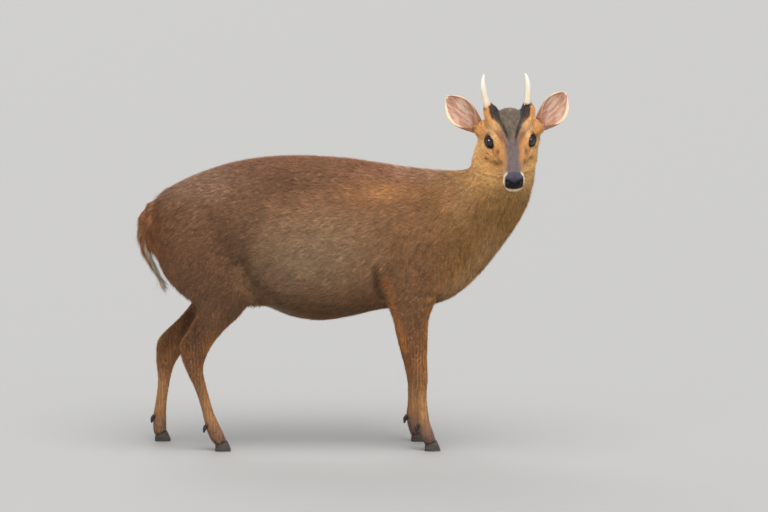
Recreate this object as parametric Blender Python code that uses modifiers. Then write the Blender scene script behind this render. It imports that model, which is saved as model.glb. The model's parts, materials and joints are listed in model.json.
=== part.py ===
"""A life-size male muntjac with spike antlers, standing with its head turned to its right.

Metres, +Z up. The body faces +X and its right side faces -Y. The origin lies on the floor,
under the middle of the animal's bounding box.

The flesh is lofted from side-view sections, fused and smoothed, and then parted by thin cuts.
Hooves, dewclaws, antlers, eyes, ears and tail are pieces of their own, set in the flesh.
"""

from math import cos, pi, radians, sin, tau

import bmesh
import bpy
import numpy as np
from mathutils import Matrix, Vector

GAP = 0.0003  # clearance that touching pieces keep
CUT_OVERLAP = 0.00005  # how much more a socket is grown, since a faceted skin lies inside its own offset

# The flesh as it is fused: voxel size, smoothing passes and the triangles that are kept
BODY_GRAIN, BODY_SMOOTHING, BODY_TRIANGLES = 0.0028, 9, 5000
HEAD_GRAIN, HEAD_SMOOTHING, HEAD_TRIANGLES = 0.0014, 4, 3300

# The head's place: the point midway between the eyes, and how far it turns, nods and tilts
EYE_MIDDLE = Vector((0.2906, -0.112, 0.5817))
HEAD_TURN = radians(-86.3)
HEAD_NOD = radians(38)
HEAD_TILT = radians(2)

EYE_RADIUS = 0.0130
EYE_CENTRE = Vector((-0.0038, 0.0330, -0.0018))  # in the head's frame, on the left side
EYE_FACING = Vector((0.79, 0.54, 0.29)).normalized()
EYE_SLOT = (0.0128, 0.0118)  # half length and half height of the opening between the lids
EYE_SLANT = 0.75  # how steeply the opening runs down towards the nose
LID_RADIUS = 0.0023

ANTLER_RADII = (0.0072, 0.0068, 0.0063, 0.0056, 0.0047, 0.0034, 0.0012)
ANTLER_PATH = (
    (-0.0450, 0.0352, 0.0370),
    (-0.0560, 0.0374, 0.0455),
    (-0.0650, 0.0394, 0.0540),
    (-0.0730, 0.0409, 0.0630),
    (-0.0800, 0.0409, 0.0710),
    (-0.0860, 0.0397, 0.0780),
    (-0.0905, 0.0376, 0.0835),
)
ANTLER_LEAN = -0.08  # the share of its height by which each spike leans to the animal's left

EAR_LENGTH, EAR_WIDEST = 0.091, 0.42  # and the share of its length where it is widest
EAR_ROOT = Vector((-0.0440, 0.0580, -0.0050))
EAR_ALONG = Vector((-0.750, 0.625, 0.222)).normalized()
EAR_OPENS = Vector((0.54, 0.36, 0.761)).normalized()
EAR_HALF_WIDTH, EAR_STEM, EAR_WALL = 0.0243, 0.0125, 0.0026
EAR_DROOP = -0.0018  # how far the leaf hangs below the line from root to tip
EAR_ROWS, EAR_COLUMNS = 12, 9

HOOF_LENGTH, HOOF_WIDTH, HOOF_TOE_HEIGHT, HOOF_HEEL_HEIGHT = 0.0300, 0.0110, 0.0185, 0.0105
HOOF_SPLAY = radians(4)
DEWCLAW_LENGTH, DEWCLAW_RADIUS = 0.0120, 0.0034

FORE_TRACK, HIND_TRACK = 0.057, 0.060  # each foot's distance from the middle plane

# How far a left leg stands behind its right one, by height: floor, knee or hock, and body
FORE_STRIDE = ((0.0, 0.135, 0.270), (-0.026, -0.012, 0.0))
HIND_STRIDE = ((0.0, 0.165, 0.200, 0.290), (-0.123, -0.052, -0.036, 0.0))

# The tail's long hair: tiers from under its root to its tip, and where the locks stand round it
LOCK_TIERS, LOCK_FIRST, LOCK_LAST = 6, 0.33, 0.93
LOCK_SPOKES, LOCK_STAGGER = (-96, -58, -20, 20, 58, 96), 19.0
LOCK_LENGTH, LOCK_VARIES = 0.046, 0.30
LOCK_WIDTH, LOCK_THICKNESS, LOCK_BEND = 0.27, 0.10, -0.01
LOCK_FLARE, LOCK_ROOT_DEPTH = 0.09, 0.75
SEED = 7

FUR = dict(colour=(0.30, 0.13, 0.055), roughness=0.75)
LEG_FUR = dict(colour=(0.42, 0.19, 0.075), roughness=0.75)
FACE_FUR = dict(colour=(0.50, 0.24, 0.085), roughness=0.75)
EAR_SKIN = dict(colour=(0.55, 0.33, 0.25), roughness=0.7)
BONE = dict(colour=(0.80, 0.73, 0.60), roughness=0.35)
EYE_BLACK = dict(colour=(0.012, 0.010, 0.012), roughness=0.05)
NOSE_SKIN = dict(colour=(0.035, 0.033, 0.040), roughness=0.3)
HORN = dict(colour=(0.045, 0.035, 0.030), roughness=0.4)


# Scene and materials


def clear_scene():
    for obj in list(bpy.data.objects):
        bpy.data.objects.remove(obj)
    for name in ("muntjac", "cutters"):
        group = bpy.data.collections.new(name)
        bpy.context.scene.collection.children.link(group)


def material(name, colour, roughness, metallic=0.0):
    made = bpy.data.materials.new(name)
    made.use_nodes = True
    shader = made.node_tree.nodes["Principled BSDF"]
    shader.inputs["Base Color"].default_value = (*colour, 1.0)
    shader.inputs["Roughness"].default_value = roughness
    shader.inputs["Metallic"].default_value = metallic
    return made


# Mesh helpers


def mesh_object(name, mesh, group="cutters"):
    obj = bpy.data.objects.new(name, mesh)
    bpy.data.collections[group].objects.link(obj)
    if group == "cutters":
        obj.hide_render = True
        obj.display_type = "WIRE"
    return obj


def from_bmesh(name, shape, group="cutters"):
    bmesh.ops.recalc_face_normals(shape, faces=shape.faces)
    mesh = bpy.data.meshes.new(name)
    shape.to_mesh(mesh)
    shape.free()
    return mesh_object(name, mesh, group)


def evaluated_mesh(obj):
    bpy.context.view_layer.update()
    graph = bpy.context.evaluated_depsgraph_get()
    return bpy.data.meshes.new_from_object(obj.evaluated_get(graph))


def applied(obj):
    """The object with its modifiers applied."""
    mesh = evaluated_mesh(obj)
    obj.modifiers.clear()
    obj.data = mesh
    return obj


def copy_of(obj, name):
    return mesh_object(name, obj.data.copy())


def drop(*objects):
    for obj in objects:
        bpy.data.objects.remove(obj)


def joined(name, objects):
    """One mesh object that holds the shells of several, which it replaces."""
    shape = bmesh.new()
    for obj in objects:
        part = obj.data.copy()
        part.transform(obj.matrix_world)
        shape.from_mesh(part)
        bpy.data.meshes.remove(part)
    drop(*objects)
    mesh = bpy.data.meshes.new(name)
    shape.to_mesh(mesh)
    shape.free()
    return mesh_object(name, mesh)


def boolean(obj, other, operation, solver="EXACT"):
    modifier = obj.modifiers.new(operation.lower(), "BOOLEAN")
    modifier.operation = operation
    modifier.object = other
    modifier.solver = solver
    return applied(obj)


def largest_shell(obj):
    """Keeps the largest closed surface of a mesh and drops the scraps of a cut."""
    shape = bmesh.new()
    shape.from_mesh(obj.data)
    bmesh.ops.remove_doubles(shape, verts=shape.verts, dist=1e-6)
    left, shells = set(shape.verts), []
    while left:
        start = left.pop()
        shell, edge = {start}, [start]
        while edge:
            for link in edge.pop().link_edges:
                for vert in link.verts:
                    if vert in left:
                        left.discard(vert)
                        shell.add(vert)
                        edge.append(vert)
        shells.append(shell)
    keep = max(shells, key=len)
    bmesh.ops.delete(shape, geom=[v for v in shape.verts if v not in keep], context="VERTS")
    shape.to_mesh(obj.data)
    shape.free()
    return obj


def grown(obj, distance, name="grown"):
    """A copy whose skin lies further out, for cutting the socket that the object sits in."""
    larger = copy_of(obj, name)
    swell = larger.modifiers.new("swell", "DISPLACE")
    swell.mid_level = 0.0
    swell.strength = distance
    return applied(larger)


def cut_socket(flesh, pieces):
    """Cuts the socket of each set-in piece, with clearance."""
    for piece in pieces:
        cutter = grown(piece, GAP + CUT_OVERLAP)
        boolean(flesh, cutter, "DIFFERENCE")
        drop(cutter)
    return largest_shell(flesh)


# Lofts: each section is a row of centre, half vector up, half vector sideways, egg and squareness


def side_section(upper, lower, half_width, lateral=0.0, egg=0.0, square=2.0):
    """A section between two points of the side view, given as (x, z)."""
    upper, lower = np.array(upper), np.array(lower)
    middle, half = (upper + lower) / 2, (upper - lower) / 2
    return [middle[0], lateral, middle[1], half[0], 0.0, half[1], 0.0, half_width, 0.0, egg, square]


def section(centre, half_up, half_side, egg=0.0, square=2.0):
    return [*centre, *half_up, *half_side, egg, square]


def smooth_rows(rows, steps):
    """Rows along a Catmull-Rom curve through the given ones."""
    rows = np.array(rows, float)
    before, after = 2 * rows[0] - rows[1], 2 * rows[-1] - rows[-2]
    padded = np.vstack([before, rows, after])
    made = []
    for i in range(1, len(rows)):
        a, b, c, d = padded[i - 1 : i + 3]
        for t in np.arange(steps) / steps:
            made.append(
                0.5 * (2 * b + (c - a) * t + (2 * a - 5 * b + 4 * c - d) * t**2)
                + 0.5 * (3 * b - 3 * c + d - a) * t**3
            )
    made.append(rows[-1])
    return np.array(made)


def ring_points(row, sides):
    centre, up, side = row[0:3], row[3:6], row[6:9]
    egg, square = row[9], max(row[10], 1.2)
    points = []
    for i in range(sides):
        angle = tau * i / sides
        height = np.sign(sin(angle)) * abs(sin(angle)) ** (2 / square)
        width = np.sign(cos(angle)) * abs(cos(angle)) ** (2 / square) * (1 + egg * height)
        points.append(centre + up * height + side * width)
    return points


def loft(name, rows, steps=3, sides=20, frame=None, group="cutters", round_ends=True):
    """A closed skin over the sections, with domed or flat ends."""
    rows = smooth_rows(rows, steps) if steps > 1 else np.array(rows, float)
    if round_ends:
        first, last = rows[0].copy(), rows[-1].copy()
        for end, other in ((first, rows[1]), (last, rows[-2])):
            away = end[0:3] - other[0:3]
            reach = min(np.linalg.norm(end[3:6]), np.linalg.norm(end[6:9])) * 0.5
            end[0:3] += away / max(np.linalg.norm(away), 1e-9) * reach
            end[3:9] *= 0.5
        rows = np.vstack([first, rows, last])
    shape = bmesh.new()
    rings = [[shape.verts.new(p) for p in ring_points(row, sides)] for row in rows]
    for lower, upper in zip(rings, rings[1:]):
        for i in range(sides):
            j = (i + 1) % sides
            shape.faces.new((lower[i], lower[j], upper[j], upper[i]))
    shape.faces.new(rings[0])
    shape.faces.new(rings[-1])
    if frame is not None:
        bmesh.ops.transform(shape, matrix=frame, verts=shape.verts)
    return from_bmesh(name, shape, group)


def tube(name, path, radii, sides=10, steps=1, frame=None):
    """A round bar along a smooth path, thicker or thinner by its radii, with domed ends."""
    rows = smooth_rows([[*point, radius] for point, radius in zip(path, radii)], steps)
    first, last = rows[0].copy(), rows[-1].copy()
    for end, other in ((first, rows[1]), (last, rows[-2])):
        away = end[0:3] - other[0:3]
        end[0:3] += away / np.linalg.norm(away) * end[3] * 0.5
        end[3] *= 0.5
    rows = np.vstack([first, rows, last])
    curve = bpy.data.curves.new(name, "CURVE")
    curve.dimensions = "3D"
    curve.bevel_depth = 1.0
    curve.bevel_resolution = sides // 2 - 2
    curve.use_fill_caps = True
    spline = curve.splines.new("POLY")
    spline.points.add(len(rows) - 1)
    for point, row in zip(spline.points, rows):
        point.co = (*row[0:3], 1.0)
        point.radius = row[3]
    line = mesh_object(name, curve)
    shape = bmesh.new()
    shape.from_mesh(evaluated_mesh(line))
    drop(line)
    bmesh.ops.remove_doubles(shape, verts=shape.verts, dist=1e-6)
    if frame is not None:
        bmesh.ops.transform(shape, matrix=frame, verts=shape.verts)
    return from_bmesh(name, shape)


def ellipsoid(name, centre, half_sizes, frame):
    shape = bmesh.new()
    bmesh.ops.create_uvsphere(shape, u_segments=20, v_segments=12, radius=1.0)
    place = frame @ Matrix.Translation(centre) @ Matrix.Diagonal((*half_sizes, 1))
    bmesh.ops.transform(shape, matrix=place, verts=shape.verts)
    return from_bmesh(name, shape)


def fused(name, shells, grain, smoothing, triangles):
    """Overlapping shells made one skin, smoothed where they meet."""
    flesh = joined(name, shells)
    melt = flesh.modifiers.new("fuse", "REMESH")
    melt.mode = "VOXEL"
    melt.voxel_size = grain
    relax = flesh.modifiers.new("relax", "SMOOTH")
    relax.factor = 0.5
    relax.iterations = smoothing
    applied(flesh)
    faces = 2 * len(flesh.data.polygons)
    thin = flesh.modifiers.new("thin", "DECIMATE")
    thin.ratio = triangles / faces
    thin.use_collapse_triangulate = True
    return applied(flesh)


# Regions: a prism on a flat outline, used to part the flesh


def offset_outline(outline, distance):
    """The outline, run anticlockwise, moved outwards."""
    count, moved = len(outline), []
    for i in range(count):
        before, here, after = (Vector(outline[(i + k) % count]) for k in (-1, 0, 1))
        first, second = (here - before).normalized(), (after - here).normalized()
        out_first, out_second = Vector((first.y, -first.x)), Vector((second.y, -second.x))
        bisector = (out_first + out_second).normalized()
        moved.append(here + bisector * distance / max(bisector.dot(out_first), 0.2))
    return moved


def prism(name, outline, near, far, frame):
    shape = bmesh.new()
    rings = [[shape.verts.new((p[0], p[1], level)) for p in outline] for level in (near, far)]
    shape.faces.new(rings[0])
    shape.faces.new(rings[1])
    for i in range(len(outline)):
        j = (i + 1) % len(outline)
        shape.faces.new((rings[0][i], rings[0][j], rings[1][j], rings[1][i]))
    bmesh.ops.transform(shape, matrix=frame, verts=shape.verts)
    return from_bmesh(name, shape)


def take(name, flesh, outline, near, far, frame):
    """Parts off what lies in the region, and leaves the rest with a thin gap to it."""
    inner = prism(name + "_region", outline, near, far, frame)
    outer = prism(name + "_outer", offset_outline(outline, GAP), near - GAP, far + GAP, frame)
    piece = boolean(copy_of(flesh, name), inner, "INTERSECT")
    boolean(flesh, outer, "DIFFERENCE")
    drop(inner, outer)
    return largest_shell(piece)


def frame_of(origin, x_axis, y_axis):
    x_axis, y_axis = Vector(x_axis).normalized(), Vector(y_axis).normalized()
    z_axis = x_axis.cross(y_axis)
    turn = Matrix((x_axis, y_axis, z_axis)).transposed().to_4x4()
    return Matrix.Translation(origin) @ turn


SIDE_VIEW = frame_of((0, 0, 0), (1, 0, 0), (0, 0, 1))  # outline as (x, z), depth along -Y
REAR_VIEW = frame_of((0, 0, 0), (0, 1, 0), (0, 0, 1))  # outline as (y, z), depth along +X
HEAD = (
    Matrix.Translation(EYE_MIDDLE)
    @ Matrix.Rotation(HEAD_TURN, 4, "Z")
    @ Matrix.Rotation(HEAD_NOD, 4, "Y")
    @ Matrix.Rotation(HEAD_TILT, 4, "X")
)  # x towards the nose, y to the animal's left, z to the crown
HEAD_SIDE = HEAD @ frame_of((0, 0, 0), (1, 0, 0), (0, 0, 1))


def mirrored(point, side):
    return Vector((point[0], point[1] * side, point[2]))


# Trunk and neck, from the buttocks forward and up to the back of the head


def trunk_rows():
    return [
        side_section((-0.3660, 0.455), (-0.3600, 0.352), 0.040),
        side_section((-0.3560, 0.474), (-0.3440, 0.322), 0.060, egg=-0.05),
        side_section((-0.3350, 0.489), (-0.3160, 0.296), 0.074, egg=-0.06),
        side_section((-0.2810, 0.5140), (-0.2700, 0.274), 0.086, egg=-0.08),
        side_section((-0.2200, 0.5335), (-0.2050, 0.265), 0.093, egg=-0.08),
        side_section((-0.1650, 0.5425), (-0.1600, 0.261), 0.098, egg=-0.06),
        side_section((-0.1100, 0.5460), (-0.1120, 0.243), 0.104, egg=-0.08),
        side_section((-0.0550, 0.5445), (-0.0580, 0.2355), 0.107, egg=-0.10),
        side_section((0.0000, 0.5400), (-0.0020, 0.2435), 0.104, egg=-0.10),
        side_section((0.0520, 0.5325), (0.0600, 0.2570), 0.094, egg=-0.12),
        side_section((0.0950, 0.5260), (0.1250, 0.2610), 0.083, egg=-0.14),
        side_section((0.1400, 0.5210), (0.1850, 0.2770), 0.073, egg=-0.10),
        side_section((0.1780, 0.5180), (0.2350, 0.3180), 0.063, egg=-0.04),
        section((0.2365, -0.002, 0.440), (-0.0335, 0.000, 0.0790), (0.0099, 0.0560, 0.0)),
        section((0.2600, -0.007, 0.4660), (-0.0400, 0.004, 0.0600), (0.0220, 0.0470, 0.0)),
        section((0.2745, -0.014, 0.4960), (-0.0430, 0.012, 0.0460), (0.0345, 0.0380, 0.0)),
        section((0.2830, -0.024, 0.5350), (-0.0340, 0.024, 0.0370), (0.0470, 0.0250, 0.0)),
        section((0.2905, -0.040, 0.5780), (-0.0120, 0.012, 0.0420), (0.0530, 0.0080, 0.0)),
        section((0.2900, -0.062, 0.5870), (0.0000, -0.006, 0.0360), (0.0480, 0.0050, 0.0)),
    ]


def shoulder_rows(side):
    lateral = (0.034, 0.047, 0.051, 0.054)
    points = (
        ((0.128, 0.485), (0.082, 0.480), 0.017),
        ((0.168, 0.420), (0.060, 0.415), 0.031),
        ((0.188, 0.350), (0.052, 0.345), 0.034),
        ((0.172, 0.298), (0.056, 0.300), 0.032),
    )
    return [side_section(f, r, w, side * y) for (f, r, w), y in zip(points, lateral)]


def stepped(rows, side, stride):
    """The rows of a right leg, or of a left one that stands further back."""
    if side < 0:
        return rows
    heights, shifts = stride
    moved = [list(row) for row in rows]
    for row in moved:
        row[0] += float(np.interp(row[2], heights, shifts))
    return moved


def fore_leg_rows(side):
    """Elbow, forearm, knee, cannon, fetlock and pastern: front and rear point, half width, track."""
    points = (
        ((0.1600, 0.2850), (0.0580, 0.2920), 0.0310, 0.0545),
        ((0.1440, 0.2450), (0.0740, 0.2480), 0.0250, 0.0545),
        ((0.1415, 0.2070), (0.0840, 0.2100), 0.0215, 0.0550),
        ((0.1406, 0.1740), (0.0950, 0.1770), 0.0188, 0.0555),
        ((0.1412, 0.1490), (0.1045, 0.1500), 0.0172, 0.0560),
        ((0.1420, 0.1300), (0.1105, 0.1320), 0.0162, 0.0560),
        ((0.1400, 0.1080), (0.1160, 0.1090), 0.0122, 0.0560),
        ((0.1425, 0.0740), (0.1200, 0.0740), 0.0112, 0.0565),
        ((0.1460, 0.0500), (0.1205, 0.0460), 0.0138, 0.0570),
        ((0.1525, 0.0330), (0.1275, 0.0245), 0.0138, 0.0570),
        ((0.1560, 0.0180), (0.1335, 0.0120), 0.0135, 0.0570),
    )
    rows = [side_section(f, r, w, side * y) for f, r, w, y in points]
    return stepped(rows, side, FORE_STRIDE)


def haunch_rows(side):
    points = (
        ((-0.225, 0.490), (-0.325, 0.466), 0.020, 0.030),
        ((-0.190, 0.435), (-0.360, 0.415), 0.037, 0.046),
        ((-0.172, 0.365), (-0.358, 0.345), 0.040, 0.054),
        ((-0.170, 0.305), (-0.326, 0.300), 0.036, 0.058),
        ((-0.200, 0.268), (-0.292, 0.275), 0.028, 0.060),
    )
    return [side_section(f, r, w, side * y) for f, r, w, y in points]


def hind_leg_rows(side):
    """Stifle, gaskin, hock, cannon, fetlock and pastern."""
    points = (
        ((-0.1780, 0.2850), (-0.3100, 0.2980), 0.0330, 0.0590),
        ((-0.2070, 0.2500), (-0.2880, 0.2680), 0.0260, 0.0600),
        ((-0.2350, 0.2240), (-0.3000, 0.2340), 0.0210, 0.0600),
        ((-0.2570, 0.1960), (-0.3160, 0.2090), 0.0180, 0.0600),
        ((-0.2710, 0.1660), (-0.3200, 0.1900), 0.0175, 0.0600),
        ((-0.2730, 0.1440), (-0.3110, 0.1570), 0.0152, 0.0600),
        ((-0.2660, 0.1150), (-0.2925, 0.1160), 0.0124, 0.0600),
        ((-0.2555, 0.0770), (-0.2805, 0.0770), 0.0114, 0.0600),
        ((-0.2455, 0.0510), (-0.2725, 0.0455), 0.0142, 0.0600),
        ((-0.2370, 0.0330), (-0.2640, 0.0240), 0.0140, 0.0600),
        ((-0.2315, 0.0180), (-0.2550, 0.0120), 0.0135, 0.0600),
    )
    rows = [side_section(f, r, w, side * y) for f, r, w, y in points]
    return stepped(rows, side, HIND_STRIDE)


def flank_fold(side):
    """The fold of skin from the belly to the stifle."""
    rows = (
        side_section((-0.110, 0.340), (-0.125, 0.266), 0.014, side * 0.046),
        side_section((-0.155, 0.345), (-0.168, 0.2685), 0.017, side * 0.052),
        side_section((-0.200, 0.340), (-0.210, 0.268), 0.020, side * 0.056),
    )
    return loft("flank_fold", rows)


# Head, in its own frame


def head_rows():
    """From the nose back to the poll: distance forward, top, bottom, half width, widest level, square."""
    sizes = (
        (0.1065, 0.0000, -0.0210, 0.0120, 0.10, 2.2),
        (0.1025, 0.0065, -0.0300, 0.0162, 0.10, 2.3),
        (0.0950, 0.0110, -0.0368, 0.0186, 0.12, 2.3),
        (0.0835, 0.0140, -0.0405, 0.0192, 0.12, 2.2),
        (0.0690, 0.0172, -0.0418, 0.0198, 0.14, 2.1),
        (0.0520, 0.0212, -0.0435, 0.0226, 0.16, 2.0),
        (0.0350, 0.0258, -0.0475, 0.0285, 0.18, 2.0),
        (0.0180, 0.0308, -0.0530, 0.0355, 0.16, 2.0),
        (0.0030, 0.0340, -0.0585, 0.0410, 0.12, 2.1),
        (-0.0120, 0.0360, -0.0630, 0.0455, 0.08, 2.1),
        (-0.0300, 0.0360, -0.0660, 0.0520, -0.04, 2.1),
        (-0.0480, 0.0310, -0.0660, 0.0565, -0.10, 2.1),
        (-0.0640, 0.0170, -0.0590, 0.0540, -0.10, 2.1),
        (-0.0780, -0.0010, -0.0480, 0.0450, -0.06, 2.0),
    )
    rows = []
    for forward, top, bottom, half_width, egg, square in sizes:
        middle, half = (top + bottom) / 2, (top - bottom) / 2
        rows.append(section((forward, 0, middle), (0, 0, half), (0, half_width, 0), egg, square))
    return rows


def eye_turn(side):
    """The frame of an eye: x along the slot between the lids, z out of the eye."""
    facing = mirrored(EYE_FACING, side)
    along = Vector((1, 0, -EYE_SLANT))
    along = (along - facing * along.dot(facing)).normalized()
    return frame_of(mirrored(EYE_CENTRE, side), along, facing.cross(along))


def lid_rim(side):
    """The raised rim of both lids round the opening."""
    place, points, count = eye_turn(side), [], 22
    for i in range(count):
        angle = tau * i / count
        x = (EYE_SLOT[0] + LID_RADIUS * 0.7) * cos(angle)
        y = (EYE_SLOT[1] + LID_RADIUS * 0.7) * sin(angle)
        out = (max((EYE_RADIUS + 0.0012) ** 2 - x**2 - y**2, 0.00001)) ** 0.5
        points.append(place @ Vector((x, y, out)))
    shape = bmesh.new()
    rings = []
    for i, point in enumerate(points):
        along = (points[(i + 1) % count] - points[i - 1]).normalized()
        outward = (point - place.translation).normalized()
        side_way = along.cross(outward).normalized()
        rings.append(
            [
                shape.verts.new(point + LID_RADIUS * (outward * cos(a) + side_way * sin(a)))
                for a in (tau * k / 8 for k in range(8))
            ]
        )
    for i in range(count):
        for k in range(8):
            first, second = rings[i], rings[(i + 1) % count]
            shape.faces.new((first[k], first[(k + 1) % 8], second[(k + 1) % 8], second[k]))
    bmesh.ops.transform(shape, matrix=HEAD, verts=shape.verts)
    return from_bmesh("lid_rim", shape)


def in_head(points, side):
    """Points of the head's left side, or their mirror images."""
    return [mirrored(point, side) for point in points]


PEDICLE_PATH = (
    (0.0320, 0.0070, 0.0225),
    (0.0120, 0.0135, 0.0290),
    (-0.0120, 0.0235, 0.0310),
    (-0.0320, 0.0315, 0.0310),
    (-0.0480, 0.0345, 0.0335),
    (-0.0570, 0.0355, 0.0370),
)
PEDICLE_RADII = (0.0050, 0.0090, 0.0128, 0.0152, 0.0148, 0.0105)
CHEEKBONE_PATH = ((0.0300, 0.0240, -0.0100), (0.0050, 0.0340, -0.0150), (-0.0300, 0.0430, -0.0080))
CHEEKBONE_RADII = (0.0085, 0.0095, 0.0090)
EAR_BUTT_PATH = ((-0.0330, 0.0320, -0.0060), (-0.0400, 0.0450, -0.0075), (-0.0470, 0.0560, -0.0060))
EAR_BUTT_RADII = (0.0220, 0.0200, 0.0155)

# The head's swellings on each side: centre and half sizes
ORBIT = ((-0.0060, 0.0290, 0.0000), (0.0200, 0.0160, 0.0175))
CHEEK = ((-0.0380, 0.0360, -0.0290), (0.0290, 0.0225, 0.0320))
LIP = ((0.0890, 0.0108, -0.0150), (0.0150, 0.0092, 0.0095))
NOSTRIL_WING = ((0.0985, 0.0093, -0.0010), (0.0080, 0.0083, 0.0085))
CHIN = ((0.0870, 0.0, -0.0310), (0.0120, 0.0120, 0.0085))
CROWN = ((-0.0380, 0.0, 0.0240), (0.0250, 0.0260, 0.0130))


def head_shells():
    shells = [loft("skull", head_rows(), steps=3, sides=24, frame=HEAD)]
    for centre, sizes in (CHIN, CROWN):
        shells.append(ellipsoid("swelling", centre, sizes, HEAD))
    for side in (-1, 1):
        for centre, sizes in (ORBIT, CHEEK, LIP, NOSTRIL_WING):
            shells.append(ellipsoid("swelling", mirrored(centre, side), sizes, HEAD))
        shells += [
            lid_rim(side),
            tube("cheekbone", in_head(CHEEKBONE_PATH, side), CHEEKBONE_RADII, 10, 3, HEAD),
            tube("pedicle", in_head(PEDICLE_PATH, side), PEDICLE_RADII, 14, 3, HEAD),
            tube("ear_butt", in_head(EAR_BUTT_PATH, side), EAR_BUTT_RADII, 14, 3, HEAD),
        ]
    return shells


def eye(side):
    shape = bmesh.new()
    bmesh.ops.create_uvsphere(shape, u_segments=16, v_segments=10, radius=EYE_RADIUS)
    bmesh.ops.transform(shape, matrix=HEAD @ eye_turn(side), verts=shape.verts)
    return from_bmesh("eye_" + side_name(side), shape, "muntjac")


def eye_slot(side):
    """The opening between the lids, as an elliptic plug from inside the eye out through the skin."""
    shape = bmesh.new()
    bmesh.ops.create_cone(shape, cap_ends=True, segments=18, radius1=0.85, radius2=1.22, depth=1.0)
    depth = 0.020
    place = Matrix.Translation((0, 0, depth * 0.62)) @ Matrix.Diagonal((*EYE_SLOT, depth, 1))
    bmesh.ops.transform(shape, matrix=HEAD @ eye_turn(side) @ place, verts=shape.verts)
    return from_bmesh("eye_slot", shape)


def groove(name, flesh, points, radius, side):
    """A furrow cut along the skin, through the nearest points of the skin to those given."""
    radii, path = [], []
    smoothed = smooth_rows([list(mirrored(p, side)) for p in points], 4)
    for i, point in enumerate(smoothed):
        _, place, _, _ = flesh.closest_point_on_mesh(HEAD @ Vector(point))
        path.append(place)
        share = i / (len(smoothed) - 1)
        radii.append(radius * (0.35 + 0.65 * min(1.0, 4 * share * (1 - share) + 0.3)))
    cutter = tube(name, path, radii, sides=6)
    boolean(flesh, cutter, "DIFFERENCE")
    drop(cutter)


# What is drawn into the skin on each side: the path and how thick a bar cuts it
MOUTH_LINE = (
    (0.1040, 0.0000, -0.0225),
    (0.0960, 0.0180, -0.0232),
    (0.0760, 0.0220, -0.0252),
    (0.0540, 0.0250, -0.0300),
)
TEAR_GLAND = ((0.0150, 0.0380, -0.0080), (0.0260, 0.0340, -0.0110), (0.0360, 0.0300, -0.0125))
BROW_GLAND = (
    (0.0330, 0.0040, 0.0300),
    (0.0150, 0.0085, 0.0380),
    (-0.0060, 0.0150, 0.0450),
    (-0.0240, 0.0200, 0.0500),
)
NOSTRIL = ((0.1090, 0.0042, -0.0030), (0.1060, 0.0092, 0.0010), (0.0990, 0.0148, -0.0030))
FURROWS = (
    ("mouth_line", MOUTH_LINE, 0.0011),
    ("tear_gland", TEAR_GLAND, 0.0021),
    ("brow_gland", BROW_GLAND, 0.0013),
    ("nostril", NOSTRIL, 0.0023),
)


def carve_head(flesh, eyes):
    """Opens the eyes, nostrils and scent glands and draws the line of the mouth."""
    for side, eyeball in zip((-1, 1), eyes):
        socket, slot = grown(eyeball, GAP + CUT_OVERLAP), eye_slot(side)
        boolean(socket, slot, "UNION")
        boolean(flesh, socket, "DIFFERENCE")
        drop(socket, slot)
        for name, path, radius in FURROWS:
            groove(name, flesh, path, radius, side)
    return largest_shell(flesh)


# Ears


def ear_half_width(share):
    """Half the ear's width along its length: a stem, a broad leaf and a narrow tip."""
    if share < EAR_WIDEST:
        return EAR_STEM + (EAR_HALF_WIDTH - EAR_STEM) * sin(pi / 2 * share / EAR_WIDEST)
    rest = (share - EAR_WIDEST) / (1 - EAR_WIDEST)
    return EAR_HALF_WIDTH * max(cos(pi / 2 * rest**1.3), 0.0) ** 0.9 + 0.0013


def ear(side, head):
    """A thin shell, rolled into a tube at the head and open towards the front above it."""
    along, opens = mirrored(EAR_ALONG, side), mirrored(EAR_OPENS, side)
    opens = (opens - along * opens.dot(along)).normalized()
    across = opens.cross(along) * side
    shape, grid = bmesh.new(), []
    for i in range(EAR_ROWS):
        share = i / (EAR_ROWS - 1)
        half, roll = ear_half_width(share), 1.05 + 1.75 * (1 - share) ** 2
        depth = EAR_STEM * (2.0 * (1 - share) ** 1.2 + 0.25)
        middle = mirrored(EAR_ROOT, side) + along * EAR_LENGTH * share
        middle += across * EAR_DROOP * sin(pi * share) + opens * (EAR_STEM * (1 - share) - 0.012 * share**2)
        row = []
        for k in range(EAR_COLUMNS):
            angle = roll * (2 * k / (EAR_COLUMNS - 1) - 1)
            width = half * sin(angle) / sin(min(roll, pi / 2))
            hollow = depth * (cos(angle) - cos(roll)) / (1 - cos(roll))
            row.append(shape.verts.new(middle + across * width - opens * hollow))
        grid.append(row)
    for low, high in zip(grid, grid[1:]):
        for k in range(EAR_COLUMNS - 1):
            shape.faces.new((low[k], low[k + 1], high[k + 1], high[k]))
    bmesh.ops.transform(shape, matrix=HEAD, verts=shape.verts)
    shell = from_bmesh("ear_" + side_name(side), shape)
    wall = shell.modifiers.new("wall", "SOLIDIFY")
    wall.thickness = EAR_WALL
    wall.offset = 0.0
    wall.use_even_offset = True
    applied(shell)
    root = mirrored(EAR_ROOT, side)
    stem = [root - along * 0.014, root - along * 0.004, root + along * 0.005 - opens * 0.002]
    plug = tube("ear_root", stem, (EAR_STEM * 0.95, EAR_STEM * 0.95, EAR_STEM * 0.7), 12, 1, HEAD)
    swollen = grown(head, GAP + CUT_OVERLAP)
    boolean(shell, plug, "UNION", "MANIFOLD")
    boolean(shell, swollen, "DIFFERENCE", "MANIFOLD")
    drop(plug, swollen)
    return show(largest_shell(shell))


def antler(side):
    """A smooth spike with a slight burr at its foot."""
    path = [(x, y + ANTLER_LEAN * z, z) for x, y, z in in_head(ANTLER_PATH, side)]
    return show(tube("antler_" + side_name(side), path, ANTLER_RADII, 10, 2, HEAD))


# Feet


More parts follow.
